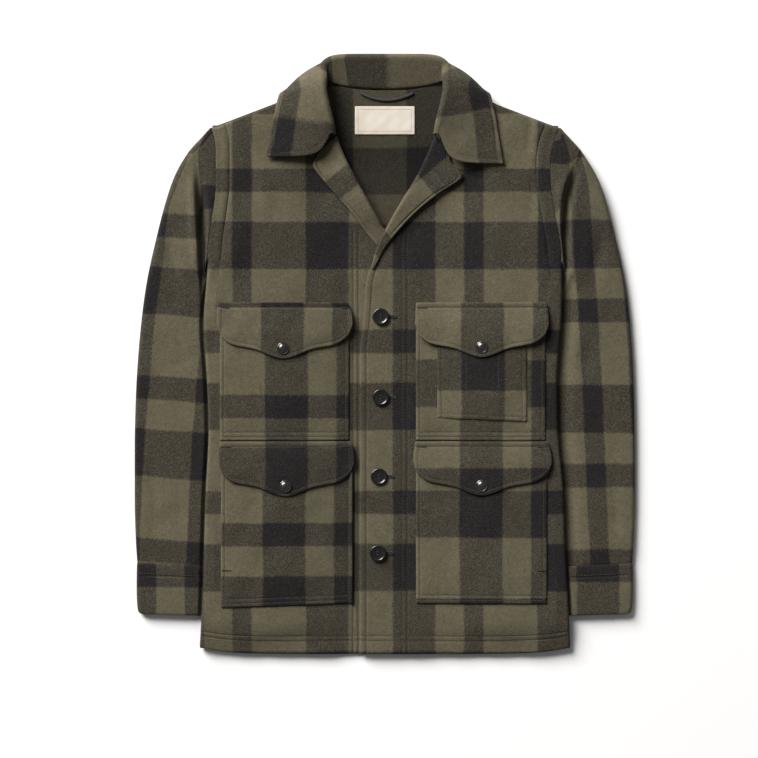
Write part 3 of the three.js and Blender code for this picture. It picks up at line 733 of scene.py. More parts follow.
def apply_modifier(piece: bpy.types.Object, kind: str, **settings: object) -> None:
    """Adds a modifier and applies it.

    Args:
        piece: the object.
        kind: the modifier's type.
        settings: its own settings.
    """
    take_up(piece)
    modifier = piece.modifiers.new(kind.lower(), kind)
    for key, value in settings.items():
        setattr(modifier, key, value)
    bpy.ops.object.modifier_apply(modifier=modifier.name)


def on_whole_mesh(piece: bpy.types.Object, action: Callable, **settings: object) -> None:
    """Runs one edit tool on all of a piece's mesh.

    Args:
        piece: the object.
        action: the tool.
        settings: its own settings.
    """
    take_up(piece)
    bpy.ops.object.mode_set(mode="EDIT")
    bpy.ops.mesh.select_all(action="SELECT")
    action(**settings)
    bpy.ops.object.mode_set(mode="OBJECT")


def settle(piece: bpy.types.Object, material: bpy.types.Material, slot: str, angle: float = 180.0) -> None:
    """Gives a piece its finish, and lets it ride on the jacket.

    Args:
        piece: the object.
        material: its finish.
        slot: not used.
        angle: edges flatter than this are shaded smooth, in degrees.
    """
    take_up(piece)
    bpy.ops.object.shade_smooth_by_angle(angle=math.radians(angle))
    piece.data.materials.clear()
    piece.data.materials.append(material)
    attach(piece, "root")


def tell(piece: bpy.types.Object) -> None:
    """Logs a finished piece."""
    LOG.info("%s: %d faces", piece.name, len(piece.data.polygons))


def lift_sunk(piece: bpy.types.Object, clear: float = 0.4) -> None:
    """Lifts the points of an inner wall that a tight fold pushed through the table.

    Args:
        piece: a cloth piece that rests on the table.
        clear: height that they get, in millimetres.
    """
    flat = np.empty(len(piece.data.vertices) * 3)
    piece.data.vertices.foreach_get("co", flat)
    heights = flat[2::3]
    heights[heights < -0.02 * MM] = clear * MM
    piece.data.vertices.foreach_set("co", flat)
    piece.data.update()


class Sheet:
    """The face of a cloth piece as a grid, with the cloth's coordinates at each point."""

    def __init__(self, points: Array, u: Array, v: Array) -> None:
        """Keeps the grid.

        Args:
            points: rows by columns by 3, in millimetres.
            u: the cloth's coordinate along the weft, in millimetres.
            v: the cloth's coordinate along the warp, in millimetres.
        """
        self.points = points
        self.u = np.broadcast_to(u, points.shape[:2])
        self.v = np.broadcast_to(v, points.shape[:2])

    @staticmethod
    def of(x: Array, y: Array, z: Array, u: Array, v: Array) -> "Sheet":
        """A sheet from separate coordinates that broadcast together."""
        shape = np.broadcast(x, y, z).shape
        points = np.stack([np.broadcast_to(part, shape) for part in (x, y, z)], axis=-1)
        return Sheet(points.astype(float), u, v)

    def sewn(
        self, name: str, thickness: float = FORM.cloth, outward: Sequence[float] = UP, ring: bool = False
    ) -> bpy.types.Object:
        """Makes the piece: the face, its thickness and rounded edges.

        Args:
            name: of the object.
            thickness: of the cloth, in millimetres.
            outward: the way that most of the face looks.
            ring: whether the last column meets the first.

        Returns:
            The object, a closed shell.
        """
        rows, cols = self.points.shape[:2]
        clear_selection()
        bpy.ops.mesh.primitive_grid_add(x_subdivisions=cols - 1, y_subdivisions=rows - 1, size=1.0)
        piece = bpy.context.object
        piece.name = piece.data.name = name
        mesh = piece.data
        flat = np.empty(len(mesh.vertices) * 3)
        mesh.vertices.foreach_get("co", flat)
        flat = flat.reshape(-1, 3)
        j = np.rint((flat[:, 0] + 0.5) * (cols - 1)).astype(int)
        i = np.rint((flat[:, 1] + 0.5) * (rows - 1)).astype(int)
        mesh.vertices.foreach_set("co", ((self.points[i, j] + SHIFT) * MM).ravel())
        corners = np.empty(len(mesh.loops), int)
        mesh.loops.foreach_get("vertex_index", corners)
        for layer in list(mesh.uv_layers):
            mesh.uv_layers.remove(layer)
        cloth = np.stack([self.u[i, j], self.v[i, j]], axis=-1) * MM
        mesh.uv_layers.new(name="cloth").data.foreach_set("uv", cloth[corners].ravel())
        mesh.update()
        if ring:
            on_whole_mesh(piece, bpy.ops.mesh.remove_doubles, threshold=1e-6)
        normals, middles = np.empty(len(mesh.polygons) * 3), np.empty(len(mesh.polygons) * 3)
        mesh.polygons.foreach_get("normal", normals)
        mesh.polygons.foreach_get("center", middles)
        looks = normals.reshape(-1, 3) @ np.asarray(outward, float)
        heights = middles.reshape(-1, 3)[:, 2]
        if ring:
            looks = looks * (heights - (heights.min() + heights.max()) / 2.0)
        if float(looks.sum()) < 0.0:
            on_whole_mesh(piece, bpy.ops.mesh.flip_normals)
        apply_modifier(piece, "SOLIDIFY", thickness=thickness * MM, offset=-1.0, use_even_offset=False)
        apply_modifier(piece, "SUBSURF", levels=1, render_levels=1)
        return piece


class Stitching:
    """Rows of single stitches that are collected and then made as one piece."""

    def __init__(self, name: str, length: float = 2.9, gap: float = 1.1, width: float = 0.62) -> None:
        """Starts empty.

        Args:
            name: of the object.
            length: of a stitch, in millimetres.
            gap: between stitches.
            width: of the thread.
        """
        self.name = name
        self.length = length
        self.gap = gap
        self.width = width
        self.places: list[tuple[Array, Array, Array]] = []

    def row(self, line: Array, lift: float = 0.12, up: Sequence[float] = UP) -> None:
        """Sews along a line.

        Args:
            line: points of the row, in millimetres.
            lift: how far the thread lies proud of the line.
            up: the way that the cloth looks.
        """
        steps = np.linalg.norm(np.diff(line, axis=0), axis=1)
        run = np.concatenate([[0.0], np.cumsum(steps)])
        pitch = self.length + self.gap
        count = max(1, int(run[-1] // pitch))
        middles = (np.arange(count) + 0.5) * run[-1] / count
        reach = self.length / 2.0
        start, middle, end = (
            np.stack([np.interp(middles + step, run, line[:, axis]) for axis in range(3)], axis=-1)
            for step in (-reach, 0.0, reach)
        )
        ups = np.broadcast_to(np.asarray(up, float), middle.shape)
        self.places.append((middle + ups * lift, end - start, ups))

    def stitch(self, middle: Sequence[float], along: Pair) -> None:
        """Sets one stitch flat on the cloth.

        Args:
            middle: its place, in millimetres.
            along: its length across and up.
        """
        self.places.append((np.array([middle], float), np.array([[*along, 0.0]]), np.array([UP])))

    def bar(self, x: float, y: float, z: float, half: float, wide: float = 1.5, pitch: float = 0.55) -> None:
        """Sews a bar tack: short stitches close together across a level line.

        Args:
            x: across, in millimetres.
            y: up, in millimetres.
            z: height, in millimetres.
            half: length of the bar, half.
            wide: width of the bar.
            pitch: from stitch to stitch.
        """
        count = max(3, int(half * 2 / pitch))
        for k in range(count):
            self.stitch((x + lerp(-half, half, k / (count - 1)), y, z + 0.35), (0.0, wide))

    def made(self, material: bpy.types.Material, slot: str = "wool") -> bpy.types.Object:
        """Models one stitch and copies it to every place.

        Args:
            material: of the thread.
            slot: the record's material slot.

        Returns:
            The object that holds all the stitches.
        """
        clear_selection()
        bpy.ops.mesh.primitive_uv_sphere_add(segments=6, ring_count=5, radius=0.5)
        piece = bpy.context.object
        piece.name = piece.data.name = self.name
        mesh = piece.data
        one = np.array([vertex.co[:] for vertex in mesh.vertices])[:, [2, 0, 1]]
        ends = np.abs(one[:, 0]) > 0.49
        one[:, 0] = np.sign(one[:, 0]) * np.abs(one[:, 0] * 2.0) ** 0.7 / 2.0
        one[ends, 0] *= 1.02
        faces = [tuple(face.vertices) for face in mesh.polygons]
        middle = np.concatenate([place[0] for place in self.places])
        along = np.concatenate([place[1] for place in self.places])
        up = np.concatenate([place[2] for place in self.places])
        across = np.cross(up, along)
        across /= np.linalg.norm(across, axis=1, keepdims=True)
        lift = np.cross(along, across)
        lift /= np.linalg.norm(lift, axis=1, keepdims=True)
        points = (
            middle[:, None]
            + one[None, :, 0:1] * along[:, None]
            + one[None, :, 1:2] * across[:, None] * self.width
            + one[None, :, 2:3] * lift[:, None] * self.width
        )
        count = len(one)
        joined = [tuple(k * count + v for v in face) for k in range(len(middle)) for face in faces]
        mesh.clear_geometry()
        mesh.from_pydata(((points.reshape(-1, 3) + SHIFT) * MM).tolist(), [], joined)
        mesh.update()
        on_whole_mesh(piece, bpy.ops.mesh.normals_make_consistent, inside=False)
        settle(piece, material, slot)
        return piece


def turned_piece(name: str, profile: Sequence[tuple[float, float]], segments: int) -> bpy.types.Object:
    """Turns a profile round the Z axis, ring by ring.

    Args:
        name: of the object.
        profile: radius and height of each ring from the underside to the middle of the top.
        segments: of each ring.

    Returns:
        The closed object, at the origin, in metres.
    """
    clear_selection()
    radius, height = profile[0]
    bpy.ops.mesh.primitive_circle_add(
        vertices=segments, radius=radius * MM, fill_type="NGON", location=(0.0, 0.0, height * MM)
    )
    piece = bpy.context.object
    piece.name = piece.data.name = name
    bpy.ops.object.transform_apply(location=True, rotation=True, scale=True)
    bpy.ops.object.mode_set(mode="EDIT")
    bpy.ops.mesh.select_all(action="SELECT")
    for wide, high in profile[1:]:
        bpy.ops.mesh.extrude_region_move(TRANSFORM_OT_translate={"value": (0.0, 0.0, (high - height) * MM)})
        bpy.ops.transform.resize(value=(wide / radius, wide / radius, 1.0))
        radius, height = wide, high
    bpy.ops.object.mode_set(mode="OBJECT")
    on_whole_mesh(piece, bpy.ops.mesh.normals_make_consistent, inside=False)
    return piece


def seat(
    piece: bpy.types.Object, x: float, y: float, surface: Callable, radius: float, gap: float = 0.6
) -> None:
    """Seats a small piece on a surface, turned to lie flat on it.

    Args:
        piece: the object, still at the origin.
        x: across, in millimetres.
        y: up, in millimetres.
        surface: height of the surface at a place.
        radius: of the piece.
        gap: above the surface.
    """
    height = float(surface(x, y))
    tilt_x = float(surface(x + radius, y) - surface(x - radius, y)) / (2 * radius)
    tilt_y = float(surface(x, y + radius) - surface(x, y - radius)) / (2 * radius)
    normal = Vector((-tilt_x, -tilt_y, 1.0)).normalized()
    turn = Vector((0.0, 0.0, 1.0)).rotation_difference(normal).to_matrix().to_4x4()
    piece.data.transform(turn)
    place = Vector((x + SHIFT[0], y + SHIFT[1], height)) + normal * gap
    piece.data.transform(turn.Translation(place * MM))
    piece.data.update()


# Body


@dataclass
class Front:
    """One front panel: closing edge, hem, side and shoulder, with its sewn rows."""

    side: Side
    inner: Curve
    height: Callable[[Array, Array], Array]
    lay: Lay
    edge_rows: tuple[float, ...]
    standing_rows: tuple[float, ...]
    cut: tuple[float, float]
    area: float
    hem_rows: tuple[float, ...] = (18.2, 24.8)
    armhole_row: float = 11.0
    margin: float = 14.0
    spacing: float = 8.0
    turns: int = 6
    shoulder_slip: float = 8.0

    def sheet(self) -> Sheet:
        """The panel's upper face, its side and shoulder edges turned down."""
        sign, square = self.side.value, math.radians(90)
        inset = float(FORM.turn(FORM.edge_turn, square)[0])
        tall = FORM.neck_up - inset - FORM.hem_up
        up = stations(tall, self.spacing, self.hem_rows)
        steps = FORM.edge_turn * np.arange(1, self.turns + 1) / self.turns
        t = np.concatenate([up / tall, np.ones(self.turns)])
        over = np.concatenate([np.zeros(len(up)), steps])
        inner_y = lerp(FORM.hem_up, FORM.neck_up - inset, t)
        outer_y = lerp(FORM.hem_side_up, FORM.tip_up - inset, t)
        inner_x = self.inner.at(inner_y)
        angle = FORM.edge_angle(outer_y)
        start_x = sign * (FORM.edge(self.side, outer_y) - FORM.turn(FORM.edge_turn, angle)[0])
        width = sign * (start_x - inner_x)
        away = self._columns(inner_x, width)
        share = away / width[:, None]
        x = inner_x[:, None] + sign * away
        lift = (FORM.hem_side_up - FORM.hem_up) * (share**8 - share) * (1 - t[:, None]) ** 3
        y = inner_y[:, None] + (outer_y - inner_y)[:, None] * share + lift
        z = self.height(x, y) + self._furrows(x, y, away, width, t * tall)
        out, drop = FORM.turn(steps[None, :], angle[:, None])
        extra = np.hstack([np.zeros_like(x), steps[None, :] - out])
        x = np.hstack([x, x[:, -1:] + sign * out])
        y = np.pad(y, ((0, 0), (0, self.turns)), mode="edge")
        z = np.hstack([z, z[:, -1:] - drop])
        over_out, over_drop = FORM.turn(over, square)
        y = y + over_out[:, None]
        z = z - over_drop[:, None]
        u, v = self.lay.at(x + sign * extra, y + (over - over_out)[:, None])
        return Sheet.of(x, y, z, u, v - self.shoulder_slip * smooth(y, 245, 317))

    def _columns(self, inner_x: Array, width: Array) -> Array:
        """Distances of the grid lines from the inner edge, row by row."""
        sign = self.side.value
        near = stations(self.margin, 5.0, self.edge_rows)
        lines = [np.full_like(inner_x, place) for place in near]
        floor = near[-1]
        for row in sorted(self.standing_rows, key=lambda place: sign * place):
            for step in BESIDE_ROW:
                floor += 0.6
                lines.append(np.maximum(sign * (row - inner_x) + step, floor))
        far = stations(20.0, 5.0, (self.armhole_row,))
        start, end = lines[-1], width - far[-1]
        parts = int(math.ceil(float(np.max(end - start)) / self.spacing))
        lines += [lerp(start, end, k / parts) for k in range(1, parts)]
        lines += [width - place for place in far[::-1]]
        return np.stack(lines, axis=1)

    def _furrows(self, x: Array, y: Array, away: Array, width: Array, from_hem: Array) -> Array:
        """Furrows of all the sewn rows."""
        below = 1 - smooth(y, 150, 175)
        height = groove(away, self.edge_rows) * below
        height = height + groove(x, self.standing_rows, 1.3) * below
        height = height + groove(np.broadcast_to(from_hem[:, None], x.shape), self.hem_rows, 0.9)
        lip = 0.9 * np.exp(-(((width[:, None] - away - 5.0) / 3.4) ** 2))
        return height + (lip + groove(width[:, None] - away, (self.armhole_row,), 1.5)) * smooth(y, 104, 130)

    def build(self, finishes: Finishes) -> bpy.types.Object:
        """Makes the panel.

        Args:
            finishes: the jacket's materials.

        Returns:
            The cloth piece.
        """
        name = f"front_{self.side.word}"
        piece = self.sheet().sewn(name + "_cloth")
        settle(piece, finishes.wool, "wool")
        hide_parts(name)
        return piece

    def sew(self, stitching: Stitching) -> None:
        """Adds the panel's rows of stitches."""
        sign = self.side.value
        y = np.arange(FORM.hem_up + 4, 150, 1.0)
        upright = [self.inner.at(y) + sign * row for row in self.edge_rows]
        upright += [np.full_like(y, row) for row in self.standing_rows]
        for x in upright:
            stitching.row(np.stack([x, y, self.height(x, y) - 0.5], axis=-1))
        for row in self.hem_rows:
            x = np.arange(float(self.inner.at(FORM.hem_up)) * sign + 2, 234, 1.0) * sign
            share = (np.abs(x) - 33) / 212
            y_hem = FORM.hem_up + row * (1 - 0.09 * share) + 8 * share**8 * 0.9
            stitching.row(np.stack([x, y_hem, self.height(x, y_hem) - 0.4], axis=-1))
        y = np.arange(132, 300, 1.0)
        x = sign * (FORM.edge(self.side, y) - self.armhole_row)
        stitching.row(np.stack([x, y, self.height(x, y) - 0.6], axis=-1))


UNDER_EDGE = Curve(
    (-397, 16), (100, 16), (130, 12), (152, 1), (167, -9), (198, -28), (259, -60), (290, -72), (310, -81),
    (356, -83),
)
OVER_EDGE = Curve(
    (-397, -33), (5, -32.7), (45, -28), (99, -24), (122, -16), (145, -4), (169, 9), (210, 35.5), (240, 53.5),
    (292, 74), (310, 81), (356, 83),
)


@dataclass
class Back:
    """The back panel, its side and shoulder edges turned up to meet the fronts."""

    lay: Lay = Lay(29.4, 211.2, 1.0, -1.0)
    hem_rows: tuple[float, ...] = (18.2, 24.8)
    columns: int = 46
    turns: int = 6
    cut: tuple[float, float] = (0.505, 0.765)
    area: float = 0.372

    def sheet(self) -> Sheet:
        """The panel's face on the table side."""
        square = math.radians(90)
        inset = float(FORM.turn(FORM.edge_turn, square)[0])
        steps = FORM.edge_turn * np.arange(1, self.turns + 1) / self.turns
        up = stations(FORM.neck_up - FORM.hem_up - inset, 12.0, self.hem_rows)
        t = np.concatenate([up / up[-1], np.ones(self.turns)])[:, None]
        over = np.concatenate([np.zeros(len(up)), steps])[:, None]
        y_side = lerp(FORM.hem_side_up, FORM.tip_up - inset, t)
        angle = FORM.edge_angle(y_side)
        run = FORM.turn(FORM.edge_turn, angle)[0]
        right = -(FORM.edge(Side.RIGHT, y_side) - run)
        left = FORM.edge(Side.LEFT, y_side) - run
        s = np.linspace(0, 1, self.columns)[None, :]
        x = right + (left - right) * s
        slope = (FORM.neck_up - FORM.tip_up) / (FORM.tip_across - FORM.neck_across)
        dipped = FORM.neck_up - FORM.neck_dip * (1 - smooth(np.abs(x), 20, FORM.neck_across))
        top = np.where(
            np.abs(x) > FORM.neck_across, FORM.neck_up - (np.abs(x) - FORM.neck_across) * slope, dipped
        )
        shoulders = smooth(np.abs(x), FORM.neck_across, FORM.neck_across + 10)
        hem = lerp(FORM.hem_up, FORM.hem_side_up, np.abs(2 * s - 1) ** 8)
        y = lerp(hem, top - lerp(FORM.edge_turn, inset + 1.2, shoulders), t)
        over_out, over_drop = FORM.turn(over, square * shoulders)
        z = FORM.back_under(x, y) + over_drop - groove(y - hem, self.hem_rows, 0.7) * (1 - shoulders * t)
        y = y + over_out
        out, rise = FORM.turn(steps[None, :], angle)
        x = np.hstack([(x[:, :1] - out)[:, ::-1], x, x[:, -1:] + out])
        y = np.pad(y, ((0, 0), (self.turns, self.turns)), mode="edge")
        z = np.hstack([(z[:, :1] + rise)[:, ::-1], z, z[:, -1:] + rise])
        u, v = self.lay.at(x, y)
        return Sheet.of(x, y, z, u, v)

    def build(self, finishes: Finishes) -> bpy.types.Object:
        """Makes the panel.

        Args:
            finishes: the jacket's materials.

        Returns:
            The cloth piece.
        """
        piece = self.sheet().sewn("back_cloth", outward=DOWN)
        settle(piece, finishes.wool, "wool")
        self.dress_reverse(piece, finishes)
        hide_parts("back")
        return piece

    @staticmethod
    def dress_reverse(piece: bpy.types.Object, finishes: Finishes) -> None:
        """Gives the panel's inner side the darker copy of the wool: painted shade for the inside of the neck.
        """
        piece.data.materials.append(finishes.reverse)
        normals = np.empty(len(piece.data.polygons) * 3)
        piece.data.polygons.foreach_get("normal", normals)
        inner = (normals.reshape(-1, 3)[:, 2] > 0.3).astype(int)
        piece.data.polygons.foreach_set("material_index", inner)
        piece.data.update()

    def sew(self, stitching: Stitching) -> None:
        """Adds the hem's two rows on the outer face."""
        x = np.arange(-236, 236, 1.0)
        for row in self.hem_rows:
            y = FORM.hem_up + row + 8 * (np.abs(x) / 245) ** 8
            stitching.row(np.stack([x, y, FORM.back_under(x, y) + 0.7], axis=-1), 0.1, DOWN)


# Lapels and collar


class LapelChord(NamedTuple):
    """A line across a lapel from the roll to the free edge."""

    roll_x: float
    roll_y: float
    edge_x: float
    edge_y: float
    radius: float
    wrap: float
    stand: float


@dataclass
class Lapel:
    """A lapel facing: round the roll line, then lying on its front."""

    side: Side
    chords: tuple[LapelChord, ...]
    height: Callable[[Array, Array], Array]
    corner: tuple[float, float]
    edge_way: tuple[float, float]
    inward: tuple[float, float]
    phase: tuple[float, float, float]
    cut: tuple[float, float]
    area: float
    lie: float = 0.0
    row: float = 5.6
    edge_lift: float = 0.6
    arc: int = 8
    rows: int = 44
    face: Array = field(default_factory=lambda: np.zeros((0, 3)))

    def sheet(self) -> Sheet:
        """The facing's outer face."""
        table = [Curve(*[(i, chord[k]) for i, chord in enumerate(self.chords)]) for k in range(7)]
        i = np.linspace(0, len(self.chords) - 1, self.rows)
        roll_x, roll_y, edge_x, edge_y, radius, wrap, stand = (column.at(i)[:, None] for column in table)
        wide = np.hypot(edge_x - roll_x, edge_y - roll_y)
        way_x, way_y = (edge_x - roll_x) / wide, (edge_y - roll_y) / wide
        lift = FORM.seam + 0.1 + FORM.cloth + stand

        def base(d: Array) -> Array:
            """Height of the cloth below, at a distance from the roll."""
            return self.height(roll_x + way_x * d, roll_y + way_y * d)

        centre = base(radius) + lift + self.edge_lift - radius
        angle = lerp(-np.radians(wrap), math.radians(90), np.linspace(0, 1, self.arc + 1)[None, :])
        bent = radius - radius * np.cos(angle)
        top = stations(1.0, 0.09, ())
        share = np.concatenate([top[1:-1], [1.0]])[None, :]
        flat = lerp(radius, wide, share)
        close = np.array([1.0, 0.45, 0.0, -0.45, -1.0]) * 1.3
        near = wide - (self.row + close)[None, :]
        flat = np.sort(np.hstack([flat, np.clip(near, radius + 0.2, wide - 0.4)]), axis=1)
        d = np.hstack([bent, flat])
        fall = (self.edge_lift + self.lie * np.maximum(stand, 0)) * (flat - radius) / (wide - radius)
        z_flat = base(flat) + lift + self.edge_lift - fall
        z_flat = z_flat + groove(wide - flat, (self.row,)) * smooth(wide, 12, 24)
        z = np.hstack([centre + radius * np.sin(angle), z_flat])
        x, y = roll_x + way_x * d, roll_y + way_y * d
        z = z + 0.5 * unevenness(x, y, 1.1 + self.side.value, 50)
        around = np.hstack([-radius * (math.pi / 2 - angle) + radius - bent, np.zeros_like(flat)])
        across = (x - self.corner[0]) * self.inward[0] + (y - self.corner[1]) * self.inward[1] - around
        down = (x - self.corner[0]) * self.edge_way[0] + (y - self.corner[1]) * self.edge_way[1]
        return Sheet.of(x, y, z, self.phase[0] + across, self.phase[1] + self.phase[2] * down)

    def build(self, finishes: Finishes, stitching: Stitching) -> bpy.types.Object:
        """Makes the facing and sews its edge.

        Args:
            finishes: the jacket's materials.
            stitching: takes the row along the edge.

        Returns:
            The cloth piece.
        """
        name = f"lapel_facing_{self.side.word}"
        sheet = self.sheet()
        piece = sheet.sewn(name + "_cloth", outward=(-self.side.value, 0, 0.4))
        settle(piece, finishes.wool, "wool")
        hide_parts(name)
        stitching.row(self.edge_line(sheet, self.row)[4:-2])
        self.face = sheet.points.reshape(-1, 3)
        return piece

    def surface(self, x: float, y: float) -> float:
        """Height of the facing near a place."""
        away = np.hypot(self.face[:, 0] - x, self.face[:, 1] - y)
        near = np.argsort(away)[:6]
        return float(np.average(self.face[near, 2], weights=1.0 / (away[near] + 0.3)))

    def edge_line(self, sheet: Sheet, inset: float) -> Array:
        """Points of the face a little way in from the free edge.

        Args:
            sheet: the facing's face.
            inset: distance from the edge.

        Returns:
            One point for each row.
        """
        line = []
        for row in sheet.points:
            reach = np.linalg.norm(row[-1] - row, axis=1)
            k = int(np.argmin(np.abs(reach - inset)))
            line.append(row[k])
        return np.array(line)


RIGHT_CHORDS = (
    LapelChord(2.5, 162.5, -9.5, 142.5, 2.4, 40, -0.6),
    LapelChord(-3, 169, -26, 162, 3.6, 70, 0.8),
    LapelChord(-9, 180, -42, 184, 4.4, 90, 4.0),
    LapelChord(-22, 203, -66, 211, 5, 90, 8.0),
    LapelChord(-38, 232, -90, 240, 5, 90, 8.0),
    LapelChord(-52, 260, -95, 252, 5, 80, 3.4),
    LapelChord(-63, 288, -84, 270, 4.2, 60, 0.8),
)
LEFT_CHORDS = (
    LapelChord(-17.6, 112, -15.2, 111.5, 1.1, 0, -1.6),
    LapelChord(-14.8, 127, -8.5, 124.5, 2.4, 5, -0.2),
    LapelChord(-8, 147, 4, 146, 3.2, 10, 0.6),
    LapelChord(9, 180, 37, 183, 4.4, 70, 2.2),
    LapelChord(26, 209, 69, 210, 5, 90, 3.8),
    LapelChord(42, 235, 103, 234, 5, 90, 3.4),
    LapelChord(54, 260, 88, 252, 5, 80, 1.6),
    LapelChord(66.5, 288, 85, 268, 4, 60, 0.8),
)


class CollarStation(NamedTuple):
    """A section of the collar: neck seam, roll crest, bend and edge of the leaf."""

    neck: tuple[float, float, float]
    roll: tuple[float, float, float]
    turn: float
    lean: float
    sweep: float
    bend: tuple[float, float, float]
    edge: tuple[float, float, float]


@dataclass
class Collar:
    """The fold-over collar, from one front end round the back neck to the other."""

    cloth: float = 3.0
    roll_radius: float = 6.4
    left_drop: float = 9.0
    half: int = 42
    stand: int = 8
    arc: int = 10
    leaf: int = 16
    row: float = 5.4
    cut: tuple[float, float] = (0.53, 0.145)
    area: float = 0.046
    stations: tuple[CollarStation, ...] = (
        CollarStation((0, 349.1, 8), (0, 396.2, 13.5), 0, 0, 180, (0, 350, 0.1), (0, 313, 0.1)),
        CollarStation((44, 352.2, 8), (50, 396.2, 13.5), 0, 0, 180, (52, 350, 0.1), (54, 313, 0.1)),
        CollarStation((68, 357, 9.4), (73, 392.5, 15.5), 30, 20, 170, (92, 354, 0.4), (90, 318, 0.2)),
        CollarStation((76, 360, 11.5), (84, 381, 18), 60, 50, 140, (122, 374, 5), (113, 336, 0.2)),
        CollarStation((77, 355, 13), (83, 363, 31), 80, 78, 120, (130, 368, 18), (128, 342, 1.4)),
        CollarStation((76.5, 350, 13.5), (82.5, 353, 34.2), 88, 88, 112, (124, 357, 26), (137, 345, 9)),
        CollarStation((75.5, 343, 13.8), (82, 345, 35.6), 90, 90, 110, (116, 346, 29), (141, 340, 17)),
        CollarStation((73, 325, 14), (78, 326, 36.4), 90, 90, 110, (108, 326, 28), (146, 315, 21.2)),
        CollarStation((69, 305, 15.5), (73, 306, 33.5), 90, 90, 110, (102, 298, 27.5), (151, 289, 21)),
        CollarStation((65, 288, 17.8), (70, 289, 28.6), 90, 90, 105, (85, 259, 26), (158, 259, 21)),
    )
    band_marks: tuple[float, ...] = (-10.5, -8.35, -3.4, -2.0, -1.2, 0.02, 3.7, 7.95, 11.0)
    band_rows: tuple[float, ...] = (142.5, 172.9, 212.5, 274.5, 355.0, 385.4, 425.0, 487.0, 567.5)
    leaf_marks: tuple[float, ...] = (0.0, 6.6, 32.3, 150.0)
    leaf_rows: tuple[float, ...] = (87.1, 93.7, 119.4, 190.0)

    def _column(self, part: str, axis: int = -1) -> Curve:
        """One measure of the sections as a rounded line."""
        values = [getattr(station, part) for station in self.stations]
        picked = [value[axis] if axis >= 0 else value for value in values]
        return Curve(*[(i, value) for i, value in enumerate(picked)])

    def _place(self, part: str, i: Array, side: Array, drop: Number) -> Array:
        """Points of one part at some sections.

        Args:
            part: which measure of the sections.
            i: the sections, counted from the middle.
            side: 1 on the wearer's left and -1 on the right.
            drop: how far they lie lower down the jacket.

        Returns:
            The points, in millimetres.
        """
        x, y, z = (self._column(part, axis).at(i) for axis in range(3))
        return np.stack([side * x, y - drop, z], axis=-1)

    def sheet(self) -> Sheet:
        """The face from the neck seam, over the roll, to the edge of the leaf."""
        last = len(self.stations) - 1
        ends = last - np.array([0.0, 0.045, 0.10, 0.15, 0.20, 0.245])
        inner = np.linspace(0, last - 0.5, self.half - len(ends))
        half = np.concatenate([inner, ends[::-1]])
        signed = np.concatenate([-half[:0:-1], half])
        i, side = np.abs(signed)[:, None], np.where(signed < 0, -1.0, 1.0)[:, None]
        drop = np.where(side > 0, self.left_drop * smooth(i, last - 2, last), 0.0)
        neck, roll = (self._place(part, i, side, 0.0) for part in ("neck", "roll"))
        bend, edge = (self._place(part, i, side, drop) for part in ("bend", "edge"))
        turn, lean, sweep = (np.radians(self._column(part).at(i)) for part in ("turn", "lean", "sweep"))
        zero = np.zeros_like(turn)
        away = np.stack([side * np.sin(turn), np.cos(turn), zero], axis=-1)
        up = np.array(UP)
        crest = away * np.cos(lean)[..., None] + up * np.sin(lean)[..., None]
        within = up * np.cos(lean)[..., None] - away * np.sin(lean)[..., None]
        centre = roll - crest * self.roll_radius

        def circle(angle: Array) -> Array:
            """Points of the rolled edge, at an angle round it."""
            swung = within * np.cos(angle)[..., None] + crest * np.sin(angle)[..., None]
            return centre + self.roll_radius * swung

        share = (np.arange(self.stand) / self.stand)[None, :, None]
        standing = neck + (circle(zero) - neck) * share
        rolled = circle(sweep * np.linspace(0, 1, self.arc + 1)[None, :])
        start = circle(sweep)
        reach = np.linalg.norm(edge - start, axis=-1)
        even = np.linspace(0, 1, self.leaf + 1)[None, 1:]
        close = np.clip(1 - (self.row - np.array(BESIDE_ROW))[None, :] / reach, 0.02, 0.985)
        b = np.sort(np.hstack([np.broadcast_to(even, (len(i), self.leaf)), close]), axis=1)[..., None]
        pull = 1 + 2.0 * smooth(i, last - 0.9, last)[..., None]
        share = np.stack([(1 - b) ** 2, 2 * b * (1 - b) * pull, b**2])
        lying = (share[0] * start + share[1] * bend + share[2] * edge) / share.sum(axis=0)
        points = np.concatenate([standing, rolled, lying], axis=1)
        steps = np.linalg.norm(np.diff(points, axis=1), axis=-1)
        from_neck = np.hstack([np.zeros((len(i), 1)), np.cumsum(steps, axis=1)])
        from_edge = from_neck[:, -1:] - from_neck
        end_distance = (last - i) * 30.0
        leafy = smooth(from_neck, from_neck[:, self.stand + self.arc][:, None], from_neck[:, -8][:, None] + 1)
        shared = np.clip((from_neck - from_neck[:, self.stand : self.stand + 1]) / reach, 0, 1)
        end_furrow = groove(np.broadcast_to(end_distance, from_edge.shape), (self.row,), 0.7)
        furrow = (groove(from_edge, (self.row,)) + end_furrow) * np.clip(leafy * 3, 0, 1)
        waves = unevenness(points[..., 0], points[..., 1], 2.3, 64)
        soft = 0.8 * waves * np.clip(leafy * 2, 0, 1) * smooth(i, 5, 7)
        points[..., 2] += furrow * lerp(-1.0, 1.0, smooth(i, 3, 5)) + soft
        u = np.interp(from_edge, self.leaf_marks, self.leaf_rows)
        v = np.interp(side * (i + 1.1 * shared), self.band_marks, self.band_rows)
        return Sheet(points, u, v)

